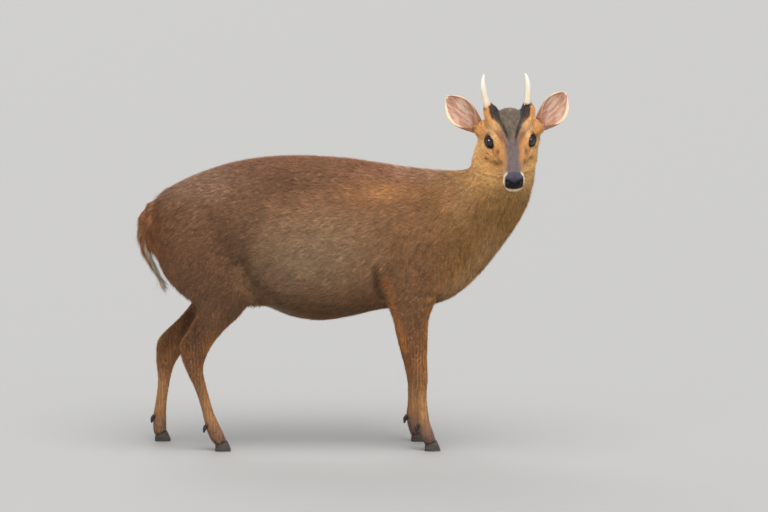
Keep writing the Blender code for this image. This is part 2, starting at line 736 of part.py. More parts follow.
def hoof(name, toe, heel_side, side):
    """One claw of a cloven hoof, flat underneath and pointed in front."""
    half_length, half_width = HOOF_LENGTH / 2, HOOF_WIDTH / 2
    rows = (
        section((0, 0, 0), (half_length, 0, 0), (0, half_width, 0), egg=-0.34),
        section(
            (-0.0010, 0, HOOF_HEEL_HEIGHT * 0.5),
            (half_length * 0.93, 0, 0.0012),
            (0, half_width, 0),
            egg=-0.30,
        ),
        section(
            (-0.0035, 0, (HOOF_TOE_HEIGHT + HOOF_HEEL_HEIGHT) / 2),
            (half_length * 0.72, 0, (HOOF_TOE_HEIGHT - HOOF_HEEL_HEIGHT) / 2),
            (0, half_width * 0.97, 0),
            egg=-0.16,
        ),
    )
    apart = HOOF_WIDTH * 0.56 + sin(HOOF_SPLAY) * half_length * 0.8 + GAP
    lateral = side * toe[1] + heel_side * apart
    place = Matrix.Translation((toe[0], lateral, 0)) @ Matrix.Rotation(heel_side * HOOF_SPLAY, 4, "Z")
    return show(loft(name, rows, steps=1, sides=14, frame=place, round_ends=False))


def dewclaw(name, fetlock, side, inward):
    top = Vector((fetlock[0] - 0.0100, side * fetlock[1] + inward * 0.0075, fetlock[2] - 0.0005))
    tip = top + Vector((-0.0050, inward * 0.0010, -DEWCLAW_LENGTH))
    middle = (top + tip) / 2 + Vector((-0.0015, 0, 0))
    radii = (DEWCLAW_RADIUS * 0.9, DEWCLAW_RADIUS, DEWCLAW_RADIUS * 0.45)
    return show(tube(name, (top, middle, tip), radii, sides=8, steps=1))


def foot(end, side):
    """Two hooves and two dewclaws, placed from the leg's lowest sections."""
    rows = fore_leg_rows(side) if end == "fore" else hind_leg_rows(side)
    pastern, fetlock = rows[-1], rows[-3]
    toe = (pastern[0] + 0.0045, abs(pastern[1]))
    joint = (fetlock[0], abs(fetlock[1]), fetlock[2])
    pieces = []
    for inward, place in ((-1, "inner"), (1, "outer")):
        label = f"{end}_{side_name(side)}_{place}"
        pieces.append(hoof("hoof_" + label, toe, inward * side, side))
        pieces.append(dewclaw("dewclaw_" + label, joint, side, inward * side))
    return pieces


# Tail


def tail_rows():
    points = (
        ((-0.3600, 0.4640), (-0.3420, 0.4500), 0.0120),
        ((-0.3820, 0.4530), (-0.3630, 0.4420), 0.0160),
        ((-0.3920, 0.4330), (-0.3735, 0.4270), 0.0175),
        ((-0.3940, 0.4080), (-0.3770, 0.4050), 0.0170),
        ((-0.3885, 0.3820), (-0.3735, 0.3780), 0.0155),
        ((-0.3790, 0.3580), (-0.3665, 0.3530), 0.0130),
        ((-0.3690, 0.3385), (-0.3590, 0.3330), 0.0100),
        ((-0.3600, 0.3230), (-0.3530, 0.3190), 0.0065),
    )
    return [side_section(f, r, w) for f, r, w in points]


def lock(root, along, across, length):
    """A flat tapered lock of hair, lying along the tail and bent out of it towards its tip."""
    shape = bmesh.new()
    normal = along.cross(across)
    width, thickness = length * LOCK_WIDTH, length * LOCK_THICKNESS
    rings = []
    for share in (0.0, 0.4, 0.75):
        middle = root + along * length * share + normal * length * LOCK_BEND * share**2
        half_width, half_height = width * (1 - 0.5 * share) / 2, thickness * (1 - 0.45 * share) / 2
        corners = [middle + across * half_width, middle + normal * half_height]
        corners += [middle - across * half_width, middle - normal * half_height]
        rings.append([shape.verts.new(corner) for corner in corners])
    tip = shape.verts.new(root + along * length + normal * length * LOCK_BEND)
    shape.faces.new(rings[0])
    for low, high in zip(rings, rings[1:]):
        for k in range(4):
            shape.faces.new((low[k], low[(k + 1) % 4], high[(k + 1) % 4], high[k]))
    for k in range(4):
        shape.faces.new((rings[-1][k], rings[-1][(k + 1) % 4], tip))
    return from_bmesh("lock", shape)


def tail_locks():
    """Overlapping locks in tiers, round the tail's free sides from under its root to past its tip."""
    draw = np.random.default_rng(SEED)
    rows = smooth_rows(tail_rows(), 8)
    made = []
    for tier in range(LOCK_TIERS):
        share = LOCK_FIRST + (LOCK_LAST - LOCK_FIRST) * tier / (LOCK_TIERS - 1)
        index = round(share * (len(rows) - 2))
        row, after = rows[index], rows[index + 1]
        centre, down = Vector(row[0:3]), Vector(after[0:3] - row[0:3]).normalized()
        back = Vector((down.z, 0, -down.x))
        half_up, half_side = Vector(row[3:6]).length, row[7]
        for spoke in LOCK_SPOKES:
            angle = radians(spoke + (LOCK_STAGGER if tier % 2 else 0.0))
            out = (back * cos(angle) * half_up + Vector((0, 1, 0)) * sin(angle) * half_side)
            root = centre + out * LOCK_ROOT_DEPTH
            normal = (out.normalized() - down * out.normalized().dot(down)).normalized()
            along = (down + normal * LOCK_FLARE).normalized()
            across = (-along.cross(normal)).normalized()
            length = LOCK_LENGTH * (1 + LOCK_VARIES * (draw.random() - 0.5))
            made.append(lock(root, along, across, length))
    return made


def tail(torso):
    """The hanging tail: a slim core under tiers of long hair."""
    body = loft("tail", tail_rows(), steps=2, sides=12)
    fringe = bpy.data.collections.new("fringe")
    bpy.context.scene.collection.children.link(fringe)
    for piece in tail_locks():
        bpy.data.collections["cutters"].objects.unlink(piece)
        fringe.objects.link(piece)
    union = body.modifiers.new("fringe", "BOOLEAN")
    union.operation = "UNION"
    union.operand_type = "COLLECTION"
    union.collection = fringe
    union.solver = "EXACT"
    applied(body)
    drop(*fringe.objects)
    swollen = grown(torso, GAP + CUT_OVERLAP)
    boolean(body, swollen, "DIFFERENCE")
    drop(swollen)
    return show(largest_shell(body))


# Parting the flesh


def side_name(side):
    return "left" if side > 0 else "right"


def show(obj):
    """Moves a finished piece to the model's own collection."""
    bpy.data.collections["cutters"].objects.unlink(obj)
    bpy.data.collections["muntjac"].objects.link(obj)
    obj.hide_render = False
    obj.display_type = "TEXTURED"
    return obj


HEAD_OUTLINE = (
    (-0.1100, 0.0900),
    (-0.0790, 0.0150),
    (-0.0500, -0.0660),
    (0.0300, -0.0640),
    (0.0900, -0.0700),
    (0.1600, -0.0500),
    (0.1600, 0.0900),
)
NOSE_OUTLINE = ((0.0940, 0.0400), (0.0945, 0.0060), (0.0995, -0.0175), (0.1300, -0.0190), (0.1300, 0.0400))
NECK_OUTLINE = ((0.2440, 0.2900), (0.4500, 0.2500), (0.4500, 0.7000), (0.1100, 0.7000), (0.1620, 0.5150))


def leg_outline(side, inner, outer):
    """Seen from behind: what lies under a line that rises from the middle plane to past the flank."""
    points = ((0.0015, -0.05), (0.16, -0.05), (0.16, outer), (0.0015, inner))
    return points if side > 0 else tuple((-y, z) for y, z in reversed(points))


def body_nodes():
    shells = [loft("trunk", trunk_rows(), steps=4, sides=36)]
    for side in (-1, 1):
        shells += [
            loft("shoulder", shoulder_rows(side)),
            loft("fore_leg", fore_leg_rows(side)),
            loft("haunch", haunch_rows(side)),
            loft("hind_leg", hind_leg_rows(side)),
            flank_fold(side),
        ]
    shells += head_shells()
    flesh = fused("flesh", shells, BODY_GRAIN, BODY_SMOOTHING, BODY_TRIANGLES)

    nodes = []
    for side in (-1, 1):
        name = side_name(side)
        knee, hock = ((0.05, 0.1555), (0.20, 0.1455)), ((-0.42, 0.1700), (-0.20, 0.2200))
        for end, joint, upper, edges in (
            ("fore", knee, leg_outline(side, 0.2450, 0.3700), (0.030, 0.205)),
            ("hind", hock, leg_outline(side, 0.2500, 0.3750), (-0.420, -0.170)),
        ):
            lower = ((joint[0][0], -0.05), (joint[1][0], -0.05), joint[1], joint[0])
            if end == "hind" and side > 0:
                lower = tuple((x - 0.045, z) for x, z in lower)
            depth = (0.001, 0.13) if side < 0 else (-0.13, -0.001)
            shank = take(f"leg_{end}_{name}_lower", flesh, lower, *depth, SIDE_VIEW)
            cut_socket(shank, foot(end, side))
            nodes.append(show(shank))
            nodes.append(show(take(f"leg_{end}_{name}_upper", flesh, upper, *edges, REAR_VIEW)))
    head_outer = prism("head_outer", offset_outline(HEAD_OUTLINE, GAP), -0.15, 0.15, HEAD_SIDE)
    boolean(flesh, head_outer, "DIFFERENCE")
    drop(head_outer)
    largest_shell(flesh)
    nodes.append(show(take("neck", flesh, NECK_OUTLINE, -0.15, 0.15, SIDE_VIEW)))
    flesh.name = "torso"
    nodes.append(show(largest_shell(flesh)))
    nodes.append(tail(nodes[-1]))
    return nodes


def head_nodes():
    shells = head_shells() + [loft("neck_end", trunk_rows()[-6:], steps=4, sides=36)]
    flesh = fused("head_flesh", shells, HEAD_GRAIN, HEAD_SMOOTHING, HEAD_TRIANGLES)
    eyes = [eye(side) for side in (-1, 1)]
    antlers = [antler(side) for side in (-1, 1)]
    carve_head(flesh, eyes)
    cut_socket(flesh, antlers)
    head = take("head", flesh, HEAD_OUTLINE, -0.15, 0.15, HEAD_SIDE)
    drop(flesh)
    nose = take("nose", head, NOSE_OUTLINE, -0.05, 0.05, HEAD_SIDE)
    largest_shell(head)
    ears = [ear(side, head) for side in (-1, 1)]
    return [show(head), show(nose), *eyes, *antlers, *ears]


def finish(nodes):
    looks = (
        ("hoof", "horn", HORN),
        ("dewclaw", "horn", HORN),
        ("leg", "leg_fur", LEG_FUR),
        ("eye", "eye_black", EYE_BLACK),
        ("antler", "antler_bone", BONE),
        ("nose", "nose_skin", NOSE_SKIN),
        ("ear", "ear_skin", EAR_SKIN),
        ("head", "face_fur", FACE_FUR),
        ("", "body_fur", FUR),
    )
    made = {}
    for obj in nodes:
        _, name, look = next(row for row in looks if obj.name.startswith(row[0]))
        if name not in made:
            made[name] = material(name, **look)
        obj.data.materials.clear()
        obj.data.materials.append(made[name])
        obj.data.shade_smooth()
        obj.data.set_sharp_from_angle(angle=radians(40))


def centre_on_floor(nodes):
    """Moves the whole animal so that the origin lies under the middle of its bounding box."""
    corners = np.array([v.co for obj in nodes for v in obj.data.vertices])
    low, high = corners.min(axis=0), corners.max(axis=0)
    shift = Matrix.Translation((-(low[0] + high[0]) / 2, -(low[1] + high[1]) / 2, -low[2]))
    for obj in nodes:
        obj.data.transform(shift)


def main():
    clear_scene()
    body_nodes()
    head_nodes()
    nodes = list(bpy.data.collections["muntjac"].objects)
    centre_on_floor(nodes)
    finish(nodes)


main()
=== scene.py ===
import json
from math import cos, radians, sin, tau

import bmesh
import bpy
import numpy as np
from mathutils import Matrix, Vector
from mathutils.kdtree import KDTree


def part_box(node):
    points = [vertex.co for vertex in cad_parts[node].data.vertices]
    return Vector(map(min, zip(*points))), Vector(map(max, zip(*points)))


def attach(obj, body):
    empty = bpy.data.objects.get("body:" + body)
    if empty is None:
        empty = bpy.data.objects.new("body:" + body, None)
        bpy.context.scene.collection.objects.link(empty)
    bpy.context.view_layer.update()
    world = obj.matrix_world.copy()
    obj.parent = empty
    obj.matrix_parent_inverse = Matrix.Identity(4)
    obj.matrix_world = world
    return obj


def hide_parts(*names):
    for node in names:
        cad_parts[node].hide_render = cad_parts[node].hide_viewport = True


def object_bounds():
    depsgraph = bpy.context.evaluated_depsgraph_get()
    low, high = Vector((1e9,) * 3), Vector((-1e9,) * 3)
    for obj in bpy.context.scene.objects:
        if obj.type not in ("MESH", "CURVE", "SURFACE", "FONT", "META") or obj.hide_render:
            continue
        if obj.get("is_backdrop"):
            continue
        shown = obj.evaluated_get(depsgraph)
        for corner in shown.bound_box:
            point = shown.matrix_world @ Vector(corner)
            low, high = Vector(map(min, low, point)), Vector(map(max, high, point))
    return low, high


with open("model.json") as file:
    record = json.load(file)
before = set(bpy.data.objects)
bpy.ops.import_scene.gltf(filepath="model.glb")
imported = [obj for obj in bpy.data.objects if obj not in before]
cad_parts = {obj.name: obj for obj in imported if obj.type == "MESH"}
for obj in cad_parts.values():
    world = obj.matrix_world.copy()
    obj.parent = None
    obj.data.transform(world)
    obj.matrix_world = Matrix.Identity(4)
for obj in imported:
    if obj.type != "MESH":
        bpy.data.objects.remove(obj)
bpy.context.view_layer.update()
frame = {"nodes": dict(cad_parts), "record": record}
nodes = frame["nodes"]


# Small helpers

def deselectAll():
    for obj in list(bpy.context.selected_objects):
        obj.select_set(False)


def makeActive(obj):
    deselectAll()
    obj.select_set(True)
    bpy.context.view_layer.objects.active = obj


def readVectors(items, key):
    flat = np.empty(len(items) * 3, np.float32)
    items.foreach_get(key, flat)
    return flat.reshape(-1, 3).astype(float)


def pointsOf(mesh):
    return readVectors(mesh.vertices, "co")


def normalsOf(mesh):
    return readVectors(mesh.vertex_normals, "vector")


def setPoints(mesh, points):
    mesh.vertices.foreach_set("co", points.astype(np.float32).ravel())
    mesh.update()


def unit(vectors):
    return vectors / np.maximum(np.linalg.norm(vectors, axis=-1, keepdims=True), 1e-9)


def softStep(values, low, high):
    share = np.clip((values - low) / (high - low), 0, 1)
    return share * share * (3 - 2 * share)


def blend(first, second, share):
    return first + (second - first) * share


# The same for rows of colours or settings, with one share for each row
def mixed(first, second, share):
    return blend(first, second, np.asarray(share)[..., None])


# A CAD node's surface as one merged mesh of its own
def plainCopy(node, name):
    shape = bmesh.new()
    shape.from_mesh(nodes[node].data)
    bmesh.ops.remove_doubles(shape, verts=shape.verts, dist=0.00001)
    points = [v.co.copy() for v in shape.verts]
    shape.verts.index_update()
    faces = [[v.index for v in f.verts] for f in shape.faces]
    shape.free()
    mesh = bpy.data.meshes.new(name)
    mesh.from_pydata(points, [], faces)
    obj = bpy.data.objects.new(name, mesh)
    bpy.context.scene.collection.objects.link(obj)
    return obj


def addModifier(obj, kind, **settings):
    made = obj.modifiers.new(kind.lower(), kind)
    for key, value in settings.items():
        setattr(made, key, value)
    makeActive(obj)
    bpy.ops.object.modifier_apply(modifier=made.name)


def finishPiece(obj, slot, *stoodFor):
    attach(obj, "root")
    if stoodFor:
        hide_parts(*stoodFor)


# A colour given as 0 to 255, as light
def linear(red, green, blue):
    share = np.array((red, green, blue)) / 255
    return np.where(share <= 0.04045, share / 12.92, ((share + 0.055) / 1.055) ** 2.4)


# The head's own frame: x to the nose, y to the animal's left, z to the crown

sides = ("left", "right")
headPose = {
    "turn": radians(-86.3),
    "nod": radians(38),
    "tilt": radians(2),
    "eyeSetBack": Vector((-0.0038, 0, -0.0018)),
}
eyes = {side: sum(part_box(f"eye_{side}"), Vector()) / 2 for side in sides}
eyeRadius = (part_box("eye_left")[1].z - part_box("eye_left")[0].z) / 2
headTurn = (
    Matrix.Rotation(headPose["turn"], 4, "Z")
    @ Matrix.Rotation(headPose["nod"], 4, "Y")
    @ Matrix.Rotation(headPose["tilt"], 4, "X")
)
headMiddle = (eyes["left"] + eyes["right"]) / 2 - headTurn @ headPose["eyeSetBack"]
head = Matrix.Translation(headMiddle) @ headTurn
headBack = np.array(head.inverted())
headAxes = np.array(head)[:3, :3]


def inHead(points):
    return points @ headBack[:3, :3].T + headBack[:3, 3]


def fromHead(points):
    return np.asarray(points, float) @ headAxes.T + np.array(head)[:3, 3]


# Both halves of the head laid on its left half
def oneSide(local):
    return np.column_stack((local[:, 0], np.abs(local[:, 1]), local[:, 2]))


eyeSpot = inHead(np.array([list(eyes["left"])]))[0]


# The distance from the nearer eye's middle
def fromEye(local):
    return np.linalg.norm(oneSide(local) - eyeSpot, axis=1)


# The face as seen from the front: aside from its middle line, and up
def seenFace(local):
    return np.column_stack((np.abs(local[:, 1]), (local[:, 2] - local[:, 0]) / 2**0.5))


middle = (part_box("torso")[0].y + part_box("torso")[1].y) / 2
print("head frame set")


# Camera, light and floor

view = {"elevation": radians(7), "distance": 9.5, "lens": 240, "fromFoot": Vector((-0.0900, 0.0643, 0.356))}
footMark = next(m for m in frame["record"]["mounts"] if m["name"] == "sole_fore_right")
aim = Vector((footMark["pos_m"][0], footMark["pos_m"][1], 0)) + view["fromFoot"]
towards = Vector((0, -cos(view["elevation"]), sin(view["elevation"])))
cameraData = bpy.data.cameras.new("camera")
cameraData.lens = view["lens"]
cameraData.clip_end = 60
camera = bpy.data.objects.new("camera", cameraData)
camera.location = aim + towards * view["distance"]
camera.rotation_euler = (-towards).to_track_quat("-Z", "Y").to_euler()
bpy.context.scene.collection.objects.link(camera)
bpy.context.scene.camera = camera


# A light at a place, turned to shine at a point
def addLight(name, kind, place, target, settings):
    light = bpy.data.lights.new(name, kind)
    for key, value in settings.items():
        setattr(light, key, value)
    obj = bpy.data.objects.new(name, light)
    obj.location = place
    obj.rotation_euler = (target - place).to_track_quat("-Z", "Y").to_euler()
    bpy.context.scene.collection.objects.link(obj)
    return obj


suns = {
    "sky": ((0.15, -0.62, 1.5), dict(energy=3.3, angle=radians(60), color=(1.0, 0.985, 0.96))),
    "fill": ((0.9, -1.5, 0.40), dict(energy=0.62, angle=radians(60), color=(1.0, 0.96, 0.90))),
    "rim": ((-0.4, 1.5, 1.2), dict(energy=1.0, angle=radians(40), color=(0.97, 0.99, 1.0))),
}
for name, (place, settings) in suns.items():
    addLight(name, "SUN", Vector(place), Vector(), settings)

faceLamps = {  # the way from the head to each lamp, and its settings
    "faceRight": ((-0.88, -0.46, 0.16), dict(energy=60, shadow_soft_size=0.28, spot_size=radians(24))),
    "faceLeft": ((0.74, -0.66, 0.18), dict(energy=13, shadow_soft_size=0.16, spot_size=radians(22))),
}
faceLampFar = 1.7
faceLampBoth = {"color": (1.0, 0.97, 0.92), "spot_blend": 1.0}
for name, (way, settings) in faceLamps.items():
    place = headMiddle + Vector(way).normalized() * faceLampFar
    addLight(name, "SPOT", place, headMiddle, {**settings, **faceLampBoth}).visible_camera = False

world = bpy.data.worlds.new("studio")
world.use_nodes = True
backdrop = world.node_tree.nodes["Background"].inputs
backdrop["Color"].default_value = (0.90, 0.94, 1.0, 1)
backdrop["Strength"].default_value = 0.42
bpy.context.scene.world = world
bpy.context.scene.view_settings.view_transform = "Standard"

deselectAll()
bpy.ops.mesh.primitive_plane_add(size=160, location=(0, 0, 0))
floor = bpy.context.object
floor.name = "floor"
floorPaint = bpy.data.materials.new("floorPaint")
floorPaint.use_nodes = True
floorShader = floorPaint.node_tree.nodes["Principled BSDF"].inputs
floorShader["Base Color"].default_value = (0.37, 0.365, 0.355, 1)
floorShader["Roughness"].default_value = 0.9
floor.data.materials.append(floorPaint)
floor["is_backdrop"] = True
print("stage set")


# The flesh, made one skin from the CAD's pieces

flesh = {"swell": 0.0006, "grain": 0.0017, "headSmoothing": 5, "bodySmoothing": 34, "triangles": 186000}
legs = [(end, side) for end in ("fore", "hind") for side in sides]
fleshNodes = ["torso", "neck", "head", "nose"]
fleshNodes += [f"leg_{end}_{side}_{part}" for end, side in legs for part in ("upper", "lower")]

tailCore = {
    "across": (0.86, 0.52, 0.30, 0.22, 0.24, 0.38, 0.58, 0.74),  # shares of the tail's box, from the root
    "down": (0.03, 0.09, 0.18, 0.31, 0.45, 0.60, 0.74, 0.85),
    "sizes": (0.0150, 0.0165, 0.0150, 0.0140, 0.0125, 0.0105, 0.0080, 0.0045),
    "flat": 0.62,
    "steps": 5,
}


# Points down the middle of the tail, from its root to near its tip
def tailLine():
    low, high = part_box("tail")
    return [
        Vector((low.x + (high.x - low.x) * across, (low.y + high.y) / 2, high.z - (high.z - low.z) * down))
        for across, down in zip(tailCore["across"], tailCore["down"])
    ]


def makeSkin():
    parts = []
    for node in fleshNodes:
        part = plainCopy(node, "flesh_" + node)
        setPoints(part.data, pointsOf(part.data) + normalsOf(part.data) * flesh["swell"])
        parts.append(part)
    line, sizes, steps = tailLine(), tailCore["sizes"], tailCore["steps"]
    for i in range((len(line) - 1) * steps + 1):
        k = min(i // steps, len(line) - 2)
        t = (i - k * steps) / steps
        size = sizes[k] * (1 - t) + sizes[k + 1] * t
        deselectAll()
        place = line[k].lerp(line[k + 1], t)
        bpy.ops.mesh.primitive_ico_sphere_add(subdivisions=2, radius=size, location=place)
        part = bpy.context.object
        part.scale = (tailCore["flat"], 1, 1)
        bpy.ops.object.transform_apply(location=True, rotation=False, scale=True)
        parts.append(part)
    deselectAll()
    for part in parts:
        part.select_set(True)
    bpy.context.view_layer.objects.active = parts[0]
    bpy.ops.object.join()
    skin = bpy.context.object
    skin.name = skin.data.name = "skin"
    addModifier(skin, "REMESH", mode="VOXEL", voxel_size=flesh["grain"], use_smooth_shade=True)
    return skin


# The name of the flesh node nearest to each point
def nodeOfPoints(points):
    names = fleshNodes + ["tail"]
    clouds = [pointsOf(nodes[name].data) for name in names]
    owners = np.repeat(np.arange(len(names)), [len(cloud) for cloud in clouds])
    tree = KDTree(len(owners))
    for index, point in enumerate(np.vstack(clouds)):
        tree.insert(point, index)
    tree.balance()
    return np.array([owners[tree.find(p)[1]] for p in points]), names


# A vertex group with the given share for each vertex, in ten steps
def groupFrom(obj, name, share):
    group = obj.vertex_groups.new(name=name)
    level = np.rint(share * 10).astype(int)
    for step in range(1, 11):
        chosen = np.nonzero(level == step)[0]
        if len(chosen):
            group.add(chosen.tolist(), step / 10, "REPLACE")
    return group.name


skin = makeSkin()
print("skin remeshed:", len(skin.data.vertices))

points = pointsOf(skin.data)
local = inHead(points)
headWide = softStep(0.105 - np.abs(local[:, 1]), 0.0, 0.02)
headness = softStep(local[:, 0], -0.105, -0.060) * headWide * (np.abs(local[:, 2]) < 0.09)
footness = 1 - softStep(points[:, 2], 0.045, 0.10)
smoothing = (1 - headness) * (1 - 0.75 * footness)
addModifier(skin, "SMOOTH", factor=0.5, iterations=flesh["headSmoothing"])
bodyGroup = groupFrom(skin, "body", smoothing)
addModifier(skin, "SMOOTH", factor=0.5, iterations=flesh["bodySmoothing"], vertex_group=bodyGroup)
print("skin smoothed")


# The head's fine forms: soft swellings and grooves, placed in the head's frame and mirrored

swellings = {
    "browRidge": dict(at=(0.004, 0.0300, 0.0155), size=(0.014, 0.006, 0.0045), rise=0.0016),
    "underEye": dict(at=(0.002, 0.0370, -0.0190), size=(0.016, 0.006, 0.0045), rise=0.0012),
    "glandLip": dict(at=(0.026, 0.0335, -0.0070), size=(0.010, 0.004, 0.0026), rise=0.0011),
    "glandFloor": dict(at=(0.027, 0.0320, -0.0160), size=(0.011, 0.004, 0.0032), rise=0.0010),
    "cheekMuscle": dict(at=(-0.026, 0.0420, -0.0240), size=(0.020, 0.008, 0.018), rise=0.0016),
    "muzzlePad": dict(at=(0.080, 0.0165, -0.0120), size=(0.016, 0.006, 0.0080), rise=0.0014),
    "upperLip": dict(at=(0.094, 0.0120, -0.0190), size=(0.010, 0.006, 0.0034), rise=0.0013),
    "lowerLip": dict(at=(0.088, 0.0100, -0.0290), size=(0.012, 0.007, 0.0030), rise=0.0010),
}
grooves = {
    "mouthLine": dict(width=0.0013, depth=0.0016, path=(
        (0.104, 0.002, -0.0225), (0.096, 0.018, -0.0232), (0.076, 0.022, -0.0252), (0.054, 0.025, -0.030))),
    "tearGland": dict(width=0.0016, depth=0.0030, path=(
        (0.014, 0.0375, -0.0085), (0.026, 0.034, -0.0115), (0.037, 0.0295, -0.0135))),
    "browGland": dict(width=0.0022, depth=0.0012, path=(
        (0.033, 0.004, 0.030), (0.015, 0.0085, 0.038), (-0.006, 0.015, 0.045), (-0.024, 0.020, 0.050))),
    "noseDivide": dict(width=0.0011, depth=0.0012, path=(
        (0.112, 0.0, 0.0040), (0.113, 0.0, -0.008), (0.107, 0.0, -0.0200))),
    "nostril": dict(width=0.0021, depth=0.0042, path=(
        (0.1095, 0.0042, -0.0045), (0.1085, 0.0088, -0.0015), (0.1040, 0.0132, -0.0010),
        (0.0990, 0.0150, -0.0040))),
}
eyeRims = {
    "lid": dict(radius=0.0168, width=0.0016, rise=0.0007),
    "socket": dict(radius=0.0202, width=0.0014, rise=0.0008),
}


# The distance from the nearest point of a line of straight pieces
def distanceToPath(points, path):
    best = np.full(len(points), 1e9)
    path = np.asarray(path, float)
    for first, second in zip(path, path[1:]):
        along = second - first
        share = np.clip(((points - first) @ along) / (along @ along), 0, 1)
        best = np.minimum(best, np.linalg.norm(points - first - share[:, None] * along, axis=1))
    return best


bodyFolds = {
    "elbow": dict(path=((0.058, 0.255), (0.060, 0.300), (0.072, 0.335)), width=0.011, rise=-0.0050),
    "elbowPoint": dict(path=((0.086, 0.262), (0.088, 0.285)), width=0.018, rise=0.0030),
    "upperArm": dict(path=((0.115, 0.320), (0.155, 0.395)), width=0.026, rise=0.0032),
    "shoulderBlade": dict(path=((0.075, 0.470), (0.110, 0.420)), width=0.030, rise=0.0024),
    "behindShoulder": dict(path=((0.052, 0.440), (0.045, 0.370)), width=0.022, rise=-0.0028),
    "flankFold": dict(path=((-0.160, 0.262), (-0.185, 0.300), (-0.200, 0.350)), width=0.013, rise=-0.0045),
    "thighFront": dict(path=((-0.215, 0.255), (-0.235, 0.330)), width=0.024, rise=0.0030),
    "thighGroove": dict(path=((-0.300, 0.400), (-0.325, 0.330), (-0.330, 0.260)), width=0.014, rise=-0.0030),
    "hamstring": dict(path=((-0.285, 0.235), (-0.310, 0.190)), width=0.008, rise=-0.0028),
    "hollowFlank": dict(path=((-0.170, 0.420), (-0.190, 0.440)), width=0.030, rise=-0.0028),
    "neckGroove": dict(path=((0.165, 0.350), (0.235, 0.450)), width=0.014, rise=-0.0018),
    "knee": dict(path=((0.126, 0.138), (0.126, 0.128)), width=0.012, rise=0.0012),
}


# Soft muscles and creases, the same on both sides of the body
def foldedBody(points, normals):
    sideways = softStep(np.abs(normals[:, 1]), 0.25, 0.75)
    plan = np.column_stack((points[:, 0], points[:, 2]))
    rise = np.zeros(len(points))
    for form in bodyFolds.values():
        rise += form["rise"] * np.exp(-((distanceToPath(plan, form["path"]) / form["width"]) ** 2))
    return points + normals * (rise * sideways)[:, None]


# The face's swellings, its grooves, and the rims round the eyes
def carvedHead(points, normals):
    local = inHead(points)
    near = np.nonzero((local[:, 0] > -0.07) & (np.abs(local[:, 1]) < 0.07) & (np.abs(local[:, 2]) < 0.08))[0]
    folded = oneSide(local[near])
    rise = np.zeros(len(near))
    for form in swellings.values():
        away = (folded - np.array(form["at"])) / np.array(form["size"])
        rise += form["rise"] * np.exp(-(away**2).sum(axis=1))
    for form in grooves.values():
        away = distanceToPath(folded, form["path"]) / form["width"]
        rise -= form["depth"] * np.exp(-(away**2))
    eyeAway = fromEye(local[near])
    lid, socket = (
        rim["rise"] * np.exp(-(((eyeAway - rim["radius"]) / rim["width"]) ** 2)) for rim in eyeRims.values()
    )
    rise += lid - socket
    moved = points.copy()
    moved[near] += normals[near] * rise[:, None]
    return moved


setPoints(skin.data, foldedBody(pointsOf(skin.data), normalsOf(skin.data)))
setPoints(skin.data, carvedHead(pointsOf(skin.data), normalsOf(skin.data)))

coatDepth = {"body": 0.0036, "leg": 0.0017, "foot": 0.0009, "face": 0.0010, "bare": 0.0002, "eye": 0.0004}


# How far the skin lies inside the coat's surface
def depthOfCoat(points):
    local = inHead(points)
    depth = np.full(len(points), coatDepth["body"])
    depth = blend(depth, coatDepth["leg"], 1 - softStep(points[:, 2], 0.20, 0.31))
    depth = blend(depth, coatDepth["foot"], 1 - softStep(points[:, 2], 0.03, 0.08))
    isHead = softStep(local[:, 0], -0.085, -0.035)
    isHead = isHead * (np.abs(local[:, 1]) < 0.1) * (np.abs(local[:, 2]) < 0.09)
    depth = blend(depth, coatDepth["face"], isHead)
    depth = depth + (coatDepth["bare"] - depth) * isHead * softStep(local[:, 0], 0.088, 0.098)
    return depth + (coatDepth["eye"] - depth) * isHead * (1 - softStep(fromEye(local), 0.014, 0.022))


points, normals = pointsOf(skin.data), normalsOf(skin.data)
setPoints(skin.data, points - normals * (flesh["swell"] + depthOfCoat(points))[:, None])
faceness = headness * softStep(inHead(points)[:, 0], -0.07, -0.03)
coarse = groupFrom(skin, "coarse", np.clip(1 - faceness, 0.02, 1))
count = sum(len(p.vertices) - 2 for p in skin.data.polygons)
thinning = dict(ratio=flesh["triangles"] / count, vertex_group=coarse, vertex_group_factor=1.0)
addModifier(skin, "DECIMATE", use_collapse_triangulate=True, **thinning)
skin.vertex_groups.clear()
skin.data.shade_smooth()
print("skin carved:", len(skin.data.polygons), "triangles")


# The markings, the same on skin and coat

